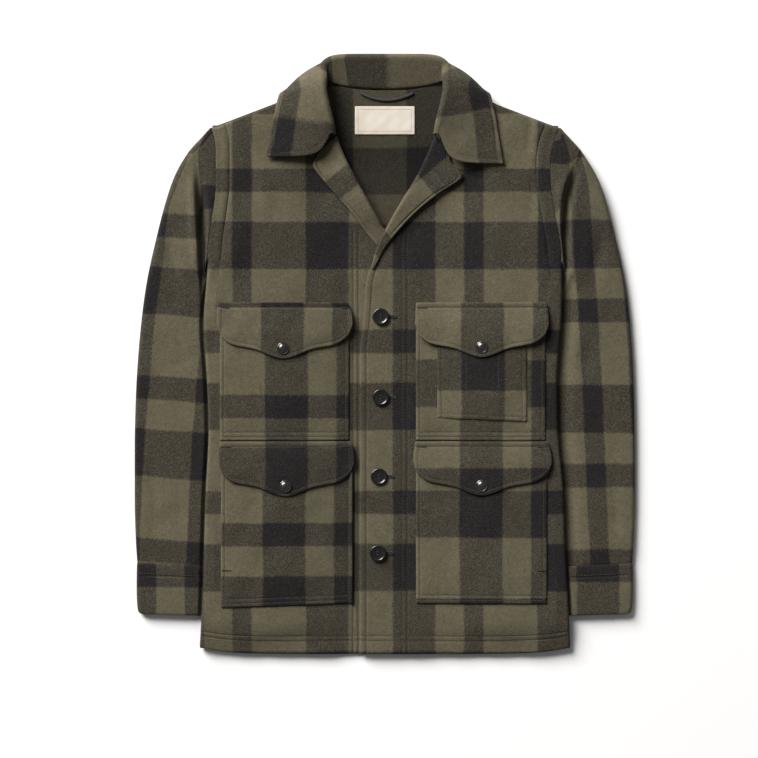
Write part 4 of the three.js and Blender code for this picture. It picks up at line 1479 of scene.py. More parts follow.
    def build(self, finishes: Finishes, stitching: Stitching) -> bpy.types.Object:
        """Makes the collar and sews its edge.

        Args:
            finishes: the jacket's materials.
            stitching: takes the rows round the leaf.

        Returns:
            The cloth piece.
        """
        sheet = self.sheet()
        piece = sheet.sewn("collar_cloth", self.cloth)
        settle(piece, finishes.wool, "wool")
        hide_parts("collar")
        line = []
        for section in sheet.points[3:-3]:
            reach = np.linalg.norm(section[-1] - section, axis=1)
            line.append(section[int(np.argmin(np.abs(reach[-9:] - self.row))) - 9])
        line = np.array(line)
        hidden = np.flatnonzero(line[:, 2] < self.cloth)
        stitching.row(line[: hidden[0]])
        stitching.row(line[hidden], up=DOWN)
        stitching.row(line[hidden[-1] + 1 :])
        for r in (3, len(sheet.points) - 4):
            stitching.row(sheet.points[r, self.stand + self.arc : -3])
        return piece


# Sleeves


class SleeveStation(NamedTuple):
    """A section of a sleeve: the ends of its chord and its heights."""

    out_x: float
    out_y: float
    in_x: float
    in_y: float
    bow: float
    top: float
    floor: float
    under: float


@dataclass
class Tube:
    """A sleeve or a cuff: a flattened tube, flatter where the body lies on it."""

    name: str
    side: Side
    stations: tuple[SleeveStation, ...]
    rows: int
    creases: tuple[Crease, ...]
    valley: Curve
    valley_depth: Curve
    grain: Curve
    grain_u: float
    spread: float
    sense: float
    row_up: float
    row_v: float
    row_rate: float
    slope: float
    cut: tuple[float, float]
    area: float
    swallow: Curve
    skip: Curve
    rise: tuple[float, float] = (0.8, 6.4)
    fuller: float = 0.0
    tuck: float = 0.0
    tuck_up: float = 11.7
    dense: float = 0.0
    middle_across: float = 277.0
    under_body: float = 6.2
    edge_radius: float = 3.1
    sewn_rows: tuple[float, ...] = ()
    arc: int = 8
    flat: int = 38
    belly: int = 12

    @property
    def long(self) -> float:
        """Length of the tube's outer edge up the jacket."""
        return self.stations[0].out_y - self.stations[-1].out_y

    def sheet(self) -> Sheet:
        """The tube's outer face, ring by ring."""
        rings = [self._ring(down) for down in self._shares()]
        grid, us, vs = ([ring[k] for ring in rings] for k in range(3))
        if self.tuck:
            head = grid[0].copy()
            head[:, 0] -= self.side.value * self.tuck
            head[:, 2] = self.tuck_up + (head[:, 2] - self.tuck_up) * 0.4
            grid, us, vs = [head, *grid], [us[0], *us], [vs[0], *vs]
        return Sheet(np.array(grid), np.array(us), np.array(vs))

    def _shares(self) -> list[float]:
        """Shares of the way down at which the rings lie, close together at each sewn row."""
        last = len(self.stations) - 1
        even = np.linspace(self.dense, last, self.rows)
        lengths = np.concatenate([np.arange(0.0, self.dense, 0.1), even]) / last
        close = [(row + step) / self.long for row in self.sewn_rows for step in (-1.4, -0.7, 0.0, 0.7, 1.4)]
        return sorted(set(lengths.tolist() + [share for share in close if 0.0 < share < 1.0]))

    def _ring(self, down: float) -> tuple[Array, Array, Array]:
        """One ring: over the outer fold, across the top, round the inner fold and back below.

        Args:
            down: share of the way down.

        Returns:
            The ring's points and their cloth coordinates along the weft and the warp.
        """
        section = Section(self, down)
        width, floor, under = section.width, section.floor, section.under
        out_radius = (float(section.top_at(np.array(12.0))) - floor) / 2
        in_radius = float(lerp((section.top - floor) / 2, self.edge_radius, under))
        angles = np.radians(np.linspace(-90, 90, self.arc + 1))
        d_out = out_radius - out_radius * np.cos(angles)
        d_top = self._crowded(out_radius, width - in_radius, section.plan)
        d_in = width - (in_radius - in_radius * np.cos(angles[::-1]))
        d_low = np.linspace(width - in_radius, out_radius, self.belly + 1)[1:]
        steps = np.arange(len(d_top))
        z_top = lerp(floor + 2 * out_radius, section.top_at(d_top), smooth(steps, 0, 3))
        z_top = lerp(floor + 2 * in_radius, z_top, smooth(steps[::-1], -0.5, 3))
        z_out = floor + out_radius * (1 + np.sin(angles))
        z_in = floor + in_radius * (1 + np.sin(angles[::-1]))
        d = np.concatenate([d_out, d_top, d_in, d_low])
        z = np.concatenate([z_out, z_top, z_in, np.full(len(d_low), floor)])
        from_rows = np.array([down * self.long - row for row in self.sewn_rows])
        z[self.arc + 1 : self.arc + self.flat] += groove(from_rows, (0.0,), 0.9).sum()
        points = np.stack([*section.plan(d), z], axis=-1)
        return points, *self._cloth(points)

    def _cloth(self, points: Array) -> tuple[Array, Array]:
        """Cloth coordinates round a ring.

        Args:
            points: the ring, in millimetres.

        Returns:
            The coordinates along the weft and along the warp.
        """
        x, y, _ = points.T
        run = np.concatenate([[0.0], np.cumsum(np.linalg.norm(np.diff(points, axis=0), axis=1))])
        first, last = self.arc + 1, self.arc + self.flat - 1
        over = slice(first, last + 1)
        beyond = smooth(self.valley.at(y[over]) - np.abs(x[over]), -3, 5)
        along = run.copy()
        along[over] = self.grain.at(y[over]) - np.abs(x[over]) + self.swallow.at(y[over]) * beyond
        along[:first] = along[first] - (run[first] - run[:first])
        along[last:] = along[last] + (run[last:] - run[last])
        passed = np.zeros(len(x))
        passed[over] = beyond
        passed[last + 1 :] = beyond[-1] * np.linspace(1, 0, len(x) - last - 1)
        centre = self.side.value * self.middle_across
        down = (self.row_up - (y + self.slope * (x - centre))) * self.row_rate
        return self.grain_u + along * self.spread * self.sense, self.row_v + down + self.skip.at(y) * passed

    def _crowded(self, start: float, end: float, plan: Callable) -> Array:
        """Distances of the top's grid lines, closer together beside the body's edge.

        Args:
            start: where the flat top begins.
            end: where it ends.
            plan: place in plan at a distance across the tube.

        Returns:
            The distances between the start and the end.
        """
        fine = np.linspace(start, end, 160)
        x, y = plan(fine)
        crowd = 1.0 + 2.4 * np.exp(-(((np.abs(x) - FORM.edge(self.side, y) - 4.0) / 9.0) ** 2))
        filled = np.concatenate([[0.0], np.cumsum((crowd[1:] + crowd[:-1]) / 2)])
        return np.interp(np.linspace(0, filled[-1], self.flat + 1)[1:-1], filled, fine)

    def build(self, finishes: Finishes, stitching: Stitching) -> bpy.types.Object:
        """Makes the tube and sews its rows.

        Args:
            finishes: the jacket's materials.
            stitching: takes the rows round the tube.

        Returns:
            The cloth piece.
        """
        sheet = self.sheet()
        piece = sheet.sewn(self.name + "_cloth", ring=True)
        lift_sunk(piece)
        settle(piece, finishes.wool, "wool")
        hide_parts(self.name)
        for row in self.sewn_rows:
            r = int(round(row / self.long * (len(sheet.points) - 1)))
            stitching.row(sheet.points[r, self.arc // 2 : self.arc + self.flat + self.arc // 2])
        return piece


class Section:
    """A section across a tube: where its chord lies, and how high its upper face is."""

    def __init__(self, tube: Tube, down: float) -> None:
        """Reads the tube's sizes.

        Args:
            tube: the sleeve or cuff.
            down: share of the way down the tube.
        """
        self.tube, self.sign = tube, tube.side.value
        self.i = down * (len(tube.stations) - 1)
        columns = (Curve(*enumerate(column)) for column in zip(*tube.stations))
        sizes = SleeveStation(*(float(column.at(self.i)) for column in columns))
        self.bow, self.top, self.floor, self.under = sizes.bow, sizes.top, sizes.floor, sizes.under
        fuller = tube.fuller * float(smooth(self.i, 2, 4) * (1 - smooth(self.i, 6, 9)))
        self.outer = np.array([self.sign * (sizes.out_x + fuller), sizes.out_y])
        self.inner = np.array([self.sign * sizes.in_x, sizes.in_y])
        self.width = float(np.linalg.norm(self.inner - self.outer))

    def plan(self, d: Array) -> tuple[Array, Array]:
        """Place in plan at a distance across the tube, bowed towards the armhole's curve."""
        first, share = self.tube.stations[0], np.asarray(d) / self.width
        y_hole = lerp(first.out_y, first.in_y, share)
        shift = FORM.armhole(self.tube.side, y_hole) - self.sign * lerp(first.out_x, first.in_x, share)
        x, y = (lerp(start, end, share) for start, end in zip(self.outer, self.inner))
        return x + self.bow * shift, y

    def top_at(self, d: Array) -> Array:
        """Height of the upper face at a distance across the tube."""
        tube, i, (x, y) = self.tube, self.i, self.plan(d)
        creased = 1.3 * relief(tube.creases, np.abs(x), y) * smooth(i, 3, 5) * smooth(d, 6, 26)
        hill = creased + unevenness(x, y, 4.0 + self.sign, 80) * smooth(d, 4, 20) * smooth(i, 1, 3)
        depth = tube.valley_depth.at(y)
        off = x - self.sign * tube.valley.at(y)
        reach = np.where(off < 0, 3.6, 7.5)
        crest = 0.30 * depth * np.exp(-(((off + 9.0) / 5.5) ** 2)) * smooth(y, 90, 150)
        hill = hill - depth * np.exp(-np.abs(off / reach) ** 2.6) + crest
        clear = np.abs(x) - FORM.edge(tube.side, y)
        ceiling = lerp(tube.under_body, self.top, smooth(clear, *tube.rise))
        freed = lerp(ceiling, self.top + 3, smooth(y, 84, 118))
        lying = np.minimum(self.top + hill, freed)
        height = lerp(self.top + hill * smooth(i, 0, 1.2), lying, self.under)
        return np.maximum(height, self.floor + 2 * FORM.cloth + 0.5)


RIGHT_SLEEVE = (
    SleeveStation(230, 299, 235, 118, 1, 16.7, 6.8, 0),
    SleeveStation(242, 286, 236.5, 112, 0.9, 18, 4, 0.6),
    SleeveStation(260, 266, 237.5, 104, 0.7, 18.4, 1, 1),
    SleeveStation(277, 237, 234, 92, 0.45, 17.6, 0, 1),
    SleeveStation(290, 200, 226, 76, 0.2, 16, 0, 1),
    SleeveStation(303, 150, 212, 54, 0, 14, 0, 1),
    SleeveStation(315, 95, 196, 26, 0, 12.5, 0, 1),
    SleeveStation(323, 35, 181, -10, 0, 11.6, 0, 1),
    SleeveStation(328.5, -35, 171, -55, 0, 11.2, 0, 1),
    SleeveStation(331, -115, 168, -125, 0, 11, 0, 1),
    SleeveStation(331, -195, 178, -203, 0, 11, 0, 1),
    SleeveStation(329.5, -245, 196, -252, 0, 11, 0, 1),
    SleeveStation(327.5, -277.6, 208, -283.6, 0, 9.8, 0, 1),
)
CUFF_STATIONS = (
    SleeveStation(328, -275.6, 208, -281.6, 0, 10.4, 0, 1),
    SleeveStation(328.5, -310, 208, -315, 0, 11, 0, 1),
    SleeveStation(327, -338, 209, -342, 0, 10.6, 0, 1),
    SleeveStation(322, -344, 212, -347, 0, 9.4, 0, 1),
)
SLEEVE_CREASES = (
    Crease(282, 130, 70, 55, 10, -1.8),
    Crease(300, 40, 20, 30, 9, 1.4),
    Crease(285, -20, 160, 35, 10, -1.3),
    Crease(300, -110, 15, 32, 11, 1.2),
    Crease(290, -215, 165, 35, 12, -1.2),
    Crease(262, 214, 76, 60, 9, 1.6),
    Crease(268, 120, 88, 60, 8, 0.9),
    Crease(270, 10, 84, 50, 8, -0.9),
    Crease(258, -70, 95, 46, 8, 0.9),
    Crease(306, -170, 88, 60, 9, -0.9),
    Crease(262, -160, 84, 60, 8, 0.8),
    Crease(280, -250, 90, 40, 8, 0.8),
)
NO_VALLEY = Curve((-400, 240), (300, 240))
FLAT_VALLEY = Curve((-400, 0), (300, 0))


@dataclass
class Sleeves:
    """Both sleeves and their cuffs."""

    def tubes(self) -> list[Tube]:
        """The four tubes, each with its check charted on it."""
        right_valley = Curve((40, 238), (90, 240), (150, 242), (213, 245), (262, 250))
        left_valley = Curve((40, 234), (120, 236), (178, 237), (213, 241), (240, 250))
        right_depth = Curve((30, 0), (80, 4), (120, 11), (190, 11.5), (214, 7), (238, 1.5), (250, 0))
        left_depth = Curve((30, 0), (80, 8), (120, 11.5), (205, 11.5), (230, 8), (258, 0))
        right_grain = Curve(
            (-345, 326), (-219, 323), (-87, 315.2), (18.5, 305.9), (60.7, 301.2), (132, 291.7),
            (179.5, 288.2), (203, 282), (232, 272), (262, 260), (290, 246),
        )
        left_grain = Curve(
            (-345, 298), (-285, 297.3), (-192.7, 293.4), (11.9, 284.1), (66, 280.6), (126.7, 274.9),
            (155.8, 273.6), (219, 269.1), (262, 262), (290, 250),
        )
        right_swallow = Curve((60, 0), (120, 15), (150, 28), (200, 36), (250, 50), (290, 58))
        left_swallow = Curve((60, 0), (120, 15), (150, 28), (178, 45), (200, 62), (215, 70), (290, 84))
        right_skip = Curve((60, 0), (120, 12), (160, 34), (190, 41), (290, 41))
        left_skip = Curve((150, 0), (200, 8), (290, 8))
        sleeve = {
            "stations": RIGHT_SLEEVE, "rows": 46, "creases": SLEEVE_CREASES, "sense": 1.0,
            "cut": (0.335, 0.600), "area": 0.140, "tuck": 6.0, "dense": 4.0,
        }
        cuff = {
            "stations": CUFF_STATIONS, "rows": 18, "creases": (), "valley": NO_VALLEY,
            "valley_depth": FLAT_VALLEY, "spread": 1.0, "cut": (0.242, 0.070), "area": 0.0166,
            "swallow": FLAT_VALLEY, "skip": FLAT_VALLEY, "sewn_rows": (10.5,),
        }
        return [
            Tube(
                "sleeve_right", Side.RIGHT, valley=right_valley, valley_depth=right_depth, grain=right_grain,
                grain_u=119.4, spread=1.13, row_up=113.5, row_v=0.0, row_rate=0.987, slope=0.075,
                swallow=right_swallow, skip=right_skip, **sleeve,
            ),
            Tube(
                "sleeve_left", Side.LEFT, valley=left_valley, valley_depth=left_depth, grain=left_grain,
                grain_u=93.7, spread=1.0, row_up=176.9, row_v=62.0, row_rate=-0.976, slope=0.0,
                swallow=left_swallow, skip=left_skip, rise=(6.0, 25.0), fuller=3.0, **sleeve,
            ),
            Tube(
                "cuff_right", Side.RIGHT, grain=Curve((-400, 301.95), (-270, 301.95)), grain_u=56.1,
                sense=1.0, row_up=-277.2, row_v=142.5, row_rate=1.0, slope=0.02, **cuff,
            ),
            Tube(
                "cuff_left", Side.LEFT, grain=Curve((-400, 253.8), (-270, 253.8)), grain_u=0.0, sense=-1.0,
                row_up=-301.0, row_v=62.0, row_rate=1.0, slope=0.0, **cuff,
            ),
        ]

    def build(self, finishes: Finishes, stitching: Stitching) -> None:
        """Makes the tubes.

        Args:
            finishes: the jacket's materials.
            stitching: takes the rows round the cuffs.
        """
        for tube in self.tubes():
            piece = tube.build(finishes, stitching)
            tell(piece)


# Pockets


@dataclass(frozen=True)
class Pouch:
    """A patch pocket's outline, x running to the wearer's left."""

    name: str
    start: float
    end: float
    top: float
    low_start: float
    low_end: float
    lay: Lay
    base: float
    rests_on: str
    bottom_rows: tuple[float, ...] = (5.2, 11.2)
    side_row: float = 5.2

    @property
    def wide(self) -> float:
        """Width of the patch."""
        return self.end - self.start

    @property
    def tall(self) -> float:
        """Height of the patch at its longer side."""
        return self.top - min(self.low_start, self.low_end)

    def low(self, x: Number) -> Array:
        """Up place of the lower edge."""
        return lerp(self.low_start, self.low_end, (x - self.start) / self.wide)


@dataclass(frozen=True)
class FlapCut:
    """A pointed flap's outline."""

    name: str
    start: float
    end: float
    top: float
    point: float
    bulge_start: float
    bulge_end: float
    lay: Lay
    rests_on: str
    over_pencil: bool = False

    @property
    def wide(self) -> float:
        """Width of the flap."""
        return self.end - self.start

    @property
    def middle(self) -> float:
        """Across place of the point."""
        return (self.start + self.end) / 2


@dataclass
class Pockets:
    """Patch pockets, the pencil pocket and the pointed flaps with their snaps."""

    on_panel: float = 2.6
    flap_stand: float = 1.5
    snap_share: float = 0.81
    snap_radius: float = 8.0
    edge_row: float = 5.4
    hold_row: float = 7.0
    filled: float = 0.80
    slot_columns: Pair = (466.3, 498.4)
    bar_row: float = 570.0
    flap_edge: Curve = Curve(
        (0, 0.40), (0.006, 0.48), (0.02, 0.555), (0.04, 0.625), (0.07, 0.69), (0.11, 0.745), (0.2, 0.79),
        (0.3, 0.84), (0.4, 0.94), (0.5, 1), (0.6, 0.94), (0.7, 0.84), (0.8, 0.79), (0.89, 0.745),
        (0.93, 0.69), (0.96, 0.625), (0.98, 0.555), (0.994, 0.48), (1, 0.40),
    )

    def pouches(self) -> list[Pouch]:
        """The five patches, each with its check charted on it."""
        upper, lower = (66.0, -114.8), (-117.0, -335.0)
        right, left = "front_right_cloth", "front_left_cloth"
        flat = self.on_panel
        return [
            Pouch("pocket_upper_right", -217.5, -46.5, upper[0], upper[1], upper[1],
                  Lay(measured(265.5), level(395) + 142.5), flat, right),
            Pouch("pocket_upper_left", 41, 212, upper[0], upper[1], upper[1],
                  Lay(measured(460), level(360)), flat, left),
            Pouch("pocket_lower_right", -216, -43.3, lower[0], lower[1], lower[1] + 5,
                  Lay(measured(262.9), level(523) + 142.5), flat, right),
            Pouch("pocket_lower_left", 41, 214, lower[0], -330, -330,
                  Lay(measured(459.7), level(490.5)), flat, left),
            Pouch("pencil_pocket", 69, 187.5, 30, -85, -90,
                  Lay(measured(461.8), level(390.7) + 62), 2 * flat, "pocket_upper_left_cloth", (6.5,), 6.0),
        ]

    def flaps(self) -> list[FlapCut]:
        """The four flaps, each with its check charted on it."""
        return [
            FlapCut("flap_upper_right", -220, -47.7, 68, 75, 1.0, 5.0,
                    Lay(measured(261.5), level(306.8) + 62), "pocket_upper_right_cloth"),
            FlapCut("flap_upper_left", 41, 214, 68, 73, 1.0, 2.0,
                    Lay(measured(461), level(300) + 64), "pocket_upper_left_cloth", True),
            FlapCut("flap_lower_right", -217.5, -44, -115.2, 73, 1.5, 3.6,
                    Lay(measured(265.5), level(446.5)), "pocket_lower_right_cloth"),
            FlapCut("flap_lower_left", 40, 215, -115.2, 72, 2.4, 5.0,
                    Lay(measured(460), level(468)), "pocket_lower_left_cloth"),
        ]

    def lift(self, flap: FlapCut, share: Number) -> Array:
        """How far a flap lies over its front, a share of the way down to its point."""
        pencil = self.on_panel * smooth(share, 0.05, 0.45) if flap.over_pencil else 0.0
        return 2 * self.on_panel + pencil + self.flap_stand * smooth(share, 0.1, 0.8)

    def pouch_height(self, pouch: Pouch, x: Array, y: Array) -> Array:
        """Upper face of a patch: puffed a little between its sewn edges."""
        sides = np.minimum(x - pouch.start, pouch.end - x)
        bottom = y - pouch.low(x)
        sewn = groove(sides, (pouch.side_row,), 0.8)
        sewn = np.minimum(sewn, groove(bottom, pouch.bottom_rows, 0.8))
        full = 0.9 * smooth(sides, pouch.side_row, 30) * smooth(bottom, pouch.bottom_rows[-1], 40)
        own = 0.55 * unevenness(x, y, 0.9 + 0.01 * pouch.start, 60) * smooth(sides, 4, 26)
        rim = -0.5 * (1 - smooth(np.minimum(sides, bottom), 0, 2.2))
        return FORM.panel_top(x, y) + pouch.base + sewn + full + own + rim

    def pouch_sheet(self, pouch: Pouch) -> Sheet:
        """A patch's upper face."""
        side = stations(pouch.wide, 8.0, (pouch.side_row, pouch.wide - pouch.side_row))
        up = stations(pouch.tall, 8.0, pouch.bottom_rows)
        s, t = (side / pouch.wide)[None, :], 1 - (up / pouch.tall)[:, None]
        x = pouch.start + pouch.wide * s + 0 * t
        y = lerp(pouch.top, lerp(pouch.low_start, pouch.low_end, s), t)
        u, v = pouch.lay.at(x, y)
        return Sheet.of(x, y, self.pouch_height(pouch, x, y), u, v)

    def flap_place(self, flap: FlapCut, s: Array, t: Array) -> tuple[Array, Array, Array]:
        """Place on a flap at a share across and down.

        Args:
            flap: which flap.
            s: share across.
            t: share down to the lower edge.

        Returns:
            Across, up and height, in millimetres.
        """
        full = flap.point * self.flap_edge.at(s)
        deep = full * t
        side = 2 * s - 1
        bulge = np.where(side < 0, flap.bulge_start, flap.bulge_end)
        rounding = np.sin(0.5 * np.pi * np.minimum(t * 1.2, 1.0))
        x = lerp(flap.start, flap.end, s) + bulge * side * np.abs(side) ** 3 * rounding
        y = flap.top - deep
        z = FORM.panel_top(x, y) + self.lift(flap, deep / flap.point)
        from_edge = full - deep
        from_side = np.minimum(s, 1 - s) * flap.wide
        sewn = groove(from_edge, (self.edge_row,), 0.5) * smooth(from_side, 2, 6)
        sewn = np.minimum(sewn, groove(deep, (self.hold_row,), 1.0))
        sewn = np.minimum(sewn, groove(from_side, (self.edge_row,), 0.5) * smooth(deep, 5, 9))
        full_belly = 0.9 * smooth(from_edge, 4, 26) * smooth(deep, 8, 24) * smooth(from_side, 5, 30)
        off_snap = ((x - flap.middle) / 15) ** 2 + ((deep - self.snap_share * flap.point) / 13) ** 2
        wave = 0.6 * unevenness(x, y, 2.0 + 0.013 * flap.start, 48) * smooth(deep, 8, 30)
        rim = -0.35 * (1 - smooth(np.minimum(from_edge, from_side), 0, 2.2))
        return x, y, z + sewn + full_belly - np.exp(-off_snap) + wave + rim

    def flap_sheet(self, flap: FlapCut) -> Sheet:
        """A flap's upper face."""
        s = (stations(flap.wide, 6.0, (self.edge_row, flap.wide - self.edge_row)) / flap.wide)[None, :]
        full = flap.point * self.flap_edge.at(s)
        beside = np.array(BESIDE_ROW)
        upper = np.array([0.0, 2.5, *(self.hold_row + beside), 11.0])[:, None] / full
        lower = 1 - np.array([0.0, 1.6, *(self.edge_row + beside), 9.0])[:, None] / full
        middle = [lerp(upper[-1:], lower[-1:], k / 8) for k in range(1, 8)]
        t = np.concatenate([upper, *middle, lower[::-1]], axis=0)
        s = np.broadcast_to(s, t.shape)
        x, y, z = self.flap_place(flap, s, t)
        u, v = flap.lay.at(x, y)
        return Sheet.of(x, y, z, u, v)

    def flap_top(self, flap: FlapCut) -> Callable:
        """Height of a flap at a place, as a function."""

        def height(x: float, y: float) -> float:
            """Upper face of the flap."""
            s = np.array((x - flap.start) / flap.wide)
            t = (flap.top - y) / (flap.point * self.flap_edge.at(s))
            return float(self.flap_place(flap, s, np.array(t))[2])

        return height

    def sew_pouch(self, pouch: Pouch, stitching: Stitching, bars: Stitching) -> None:
        """Sews a patch's sides and bottom, the pencil slots, and the corner bars."""
        lines = []
        for x0 in (pouch.start + pouch.side_row, pouch.end - pouch.side_row):
            y = np.arange(float(pouch.low(x0)) + 5, pouch.top - 8, 1.0)
            lines.append((np.full_like(y, x0), y))
        for row in pouch.bottom_rows:
            x = np.arange(pouch.start + 5.2, pouch.end - 5.2, 1.0)
            lines.append((x, pouch.low(x) + row))
        if pouch.name == "pencil_pocket":
            y = np.arange(-83.0, 28.0, 1.0)
            lines += [(np.full_like(y, measured(column)), y) for column in self.slot_columns]
        for x, y in lines:
            stitching.row(np.stack([x, y, self.pouch_height(pouch, x, y)], axis=-1))
        if pouch.name.startswith("pocket_lower"):
            outer = pouch.start if pouch.start < 0 else pouch.end
            x0, y0 = outer - math.copysign(7.5, outer), level(self.bar_row)
            bars.bar(x0, y0, float(self.pouch_height(pouch, np.array(x0), np.array(y0))), 6.0)

    def sew_flap(self, flap: FlapCut, stitching: Stitching, bars: Stitching) -> None:
        """Sews a flap's edges, the row that holds it, and its corner bars."""
        inset, bar_inset = self.edge_row / flap.wide, 8.5 / flap.wide
        s = np.linspace(inset, 1 - inset, 170)
        full = flap.point * self.flap_edge.at(s)
        stitching.row(np.stack(self.flap_place(flap, s, 1 - self.edge_row / full), axis=-1))
        stitching.row(np.stack(self.flap_place(flap, s, self.hold_row / full), axis=-1))
        for s0 in (inset, 1 - inset):
            deep = float(flap.point * self.flap_edge.at(s0))
            t = np.linspace(8.0 / deep, 1 - self.edge_row / deep, 24)
            stitching.row(np.stack(self.flap_place(flap, np.full_like(t, s0), t), axis=-1))
        for s0 in (bar_inset, 1 - bar_inset):
            held = np.array(self.hold_row / float(flap.point * self.flap_edge.at(s0)))
            x, y, z = (float(part) for part in self.flap_place(flap, np.array(s0), held))
            bars.bar(x, y, z + 0.4, 6.2)

    def build(self, finishes: Finishes, stitching: Stitching, bars: Stitching) -> None:
        """Makes the patches, flaps and snaps.

        Args:
            finishes: the jacket's materials.
            stitching: takes the rows.
            bars: takes the bar tacks.
        """
        for pouch in self.pouches():
            piece = self.pouch_sheet(pouch).sewn(pouch.name + "_cloth")
            settle(piece, finishes.wool, "wool")
            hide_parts(pouch.name)
            pouch.wide * MM
            pouch.tall * MM
            self.sew_pouch(pouch, stitching, bars)
            tell(piece)
        for number, flap in enumerate(self.flaps(), start=1):
            piece = self.flap_sheet(flap).sewn(flap.name + "_cloth")
            settle(piece, finishes.wool, "wool")
            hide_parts(flap.name)
            wide, tall = flap.wide * MM, flap.point * MM
            area = self.filled * wide * tall
            self.sew_flap(flap, stitching, bars)
            snap = self.snap(number, finishes)
            snap_up = flap.top - self.snap_share * flap.point
            seat(snap, flap.middle, snap_up, self.flap_top(flap), self.snap_radius, 0.3)
            tell(piece)

    def snap(self, number: int, finishes: Finishes) -> bpy.types.Object:
        """A domed snap cap with a rolled rim.

        Args:
            number: which snap.
            finishes: the jacket's materials.

        Returns:
            The cap, at the origin.
        """
        dome = [(5.7 * math.cos(a), 0.7 + 2.3 * math.sin(a)) for a in np.radians([12, 26, 40, 54, 68, 80])]
        profile = [(7.2, 0.0), (7.8, 0.15), (8.0, 0.55), (7.85, 0.95), (7.3, 1.2), (6.8, 1.1), (6.3, 0.75),
                   (5.9, 0.8), *dome, (0.4, 3.0)]
        piece = turned_piece(f"snap_cap_{number}", profile, 40)
        settle(piece, finishes.snap, "snap", 50.0)
        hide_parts(f"snap_{number}")
        return piece


# Buttons, label and loop


@dataclass
class Buttons:
    """Four-hole buttons, their threads and the worked holes in the over front."""

    places: tuple[tuple[float, float], ...] = ((-5.3, 49.4), (-5.3, -57.2), (-7.6, -162.0), (-8.9, -263.0))
    radius: float = 11.0
    hole: float = 1.2
    spread: float = 2.0
    hole_end: float = 18.5
    thread_up: float = 2.75
    purl: float = 2.1

    def button(self, number: int, finishes: Finishes) -> bpy.types.Object:
        """One button with a raised rim and four drilled holes.

        Args:
            number: which button.
            finishes: the jacket's materials.

        Returns:
            The button, at the origin.
        """
        profile = [(9.2, 0.0), (10.3, 0.4), (10.9, 1.1), (11.0, 1.9), (10.75, 2.6), (10.1, 3.1), (9.4, 3.2),
                   (8.7, 3.0), (8.0, 2.5), (7.2, 2.25), (4.0, 2.1), (0.4, 2.05)]
        piece = turned_piece(f"front_button_{number}", profile, 48)
        for dx, dy in ((1, 1), (-1, 1), (-1, -1), (1, -1)):
            clear_selection()
            bpy.ops.mesh.primitive_cylinder_add(
                vertices=20, radius=self.hole * MM, depth=12 * MM,
                location=(dx * self.spread * MM, dy * self.spread * MM, 0.0),
            )
            drill = bpy.context.object
            apply_modifier(piece, "BOOLEAN", operation="DIFFERENCE", object=drill, solver="EXACT")
            bpy.data.objects.remove(drill)
        settle(piece, finishes.button, "button", 40.0)
        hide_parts(f"button_{number}")
        return piece

    def build(self, finishes: Finishes, bars: Stitching) -> None:
        """Makes the buttons, their threads and the worked holes.

        Args:
            finishes: the jacket's materials.
            bars: takes the threads and the worked edges.
        """
        for number, (x, y) in enumerate(self.places, start=1):
            piece = self.button(number, finishes)
            seat(piece, x, y, FORM.front_top, self.radius)
            height = float(FORM.front_top(x, y))
            for dy in (-self.spread, self.spread):
                for shift in (-0.35, 0.35):
                    bars.stitch((x, y + dy + shift, height + self.thread_up), (2 * self.spread + 1.0, 0.0))
            self.worked_hole(x - 3.0, x + self.hole_end, y, 0.0, FORM.front_top, bars)
            tell(piece)

    def worked_hole(
        self, x0: float, x1: float, y: float, turn: float, surface: Callable, bars: Stitching
    ) -> None:
        """Works a buttonhole: purl stitches down both sides and round the end.

        Args:
            x0: start, across.
            x1: end, across.
            y: up, at the start.
            turn: of the hole, in degrees.
            surface: height of the cloth.
            bars: takes the stitches.
        """
        c, s = math.cos(math.radians(turn)), math.sin(math.radians(turn))
        long = x1 - x0
        purls = [
            (x0 + c * d - s * side * 1.25, y + s * d + c * side * 1.25, -s, c)
            for d in np.arange(0.0, long, 0.62)
            for side in (-1, 1)
        ]
        for angle in np.radians(np.linspace(-80, 80, 9) + turn):
            out, up = math.cos(angle), math.sin(angle)
            purls.append((x0 + c * long + 1.4 * out, y + s * long + 1.4 * up, out, up))
        for px, py, out, up in purls:
            bars.stitch((px, py, float(surface(px, py)) + 0.15), (out * self.purl, up * self.purl))


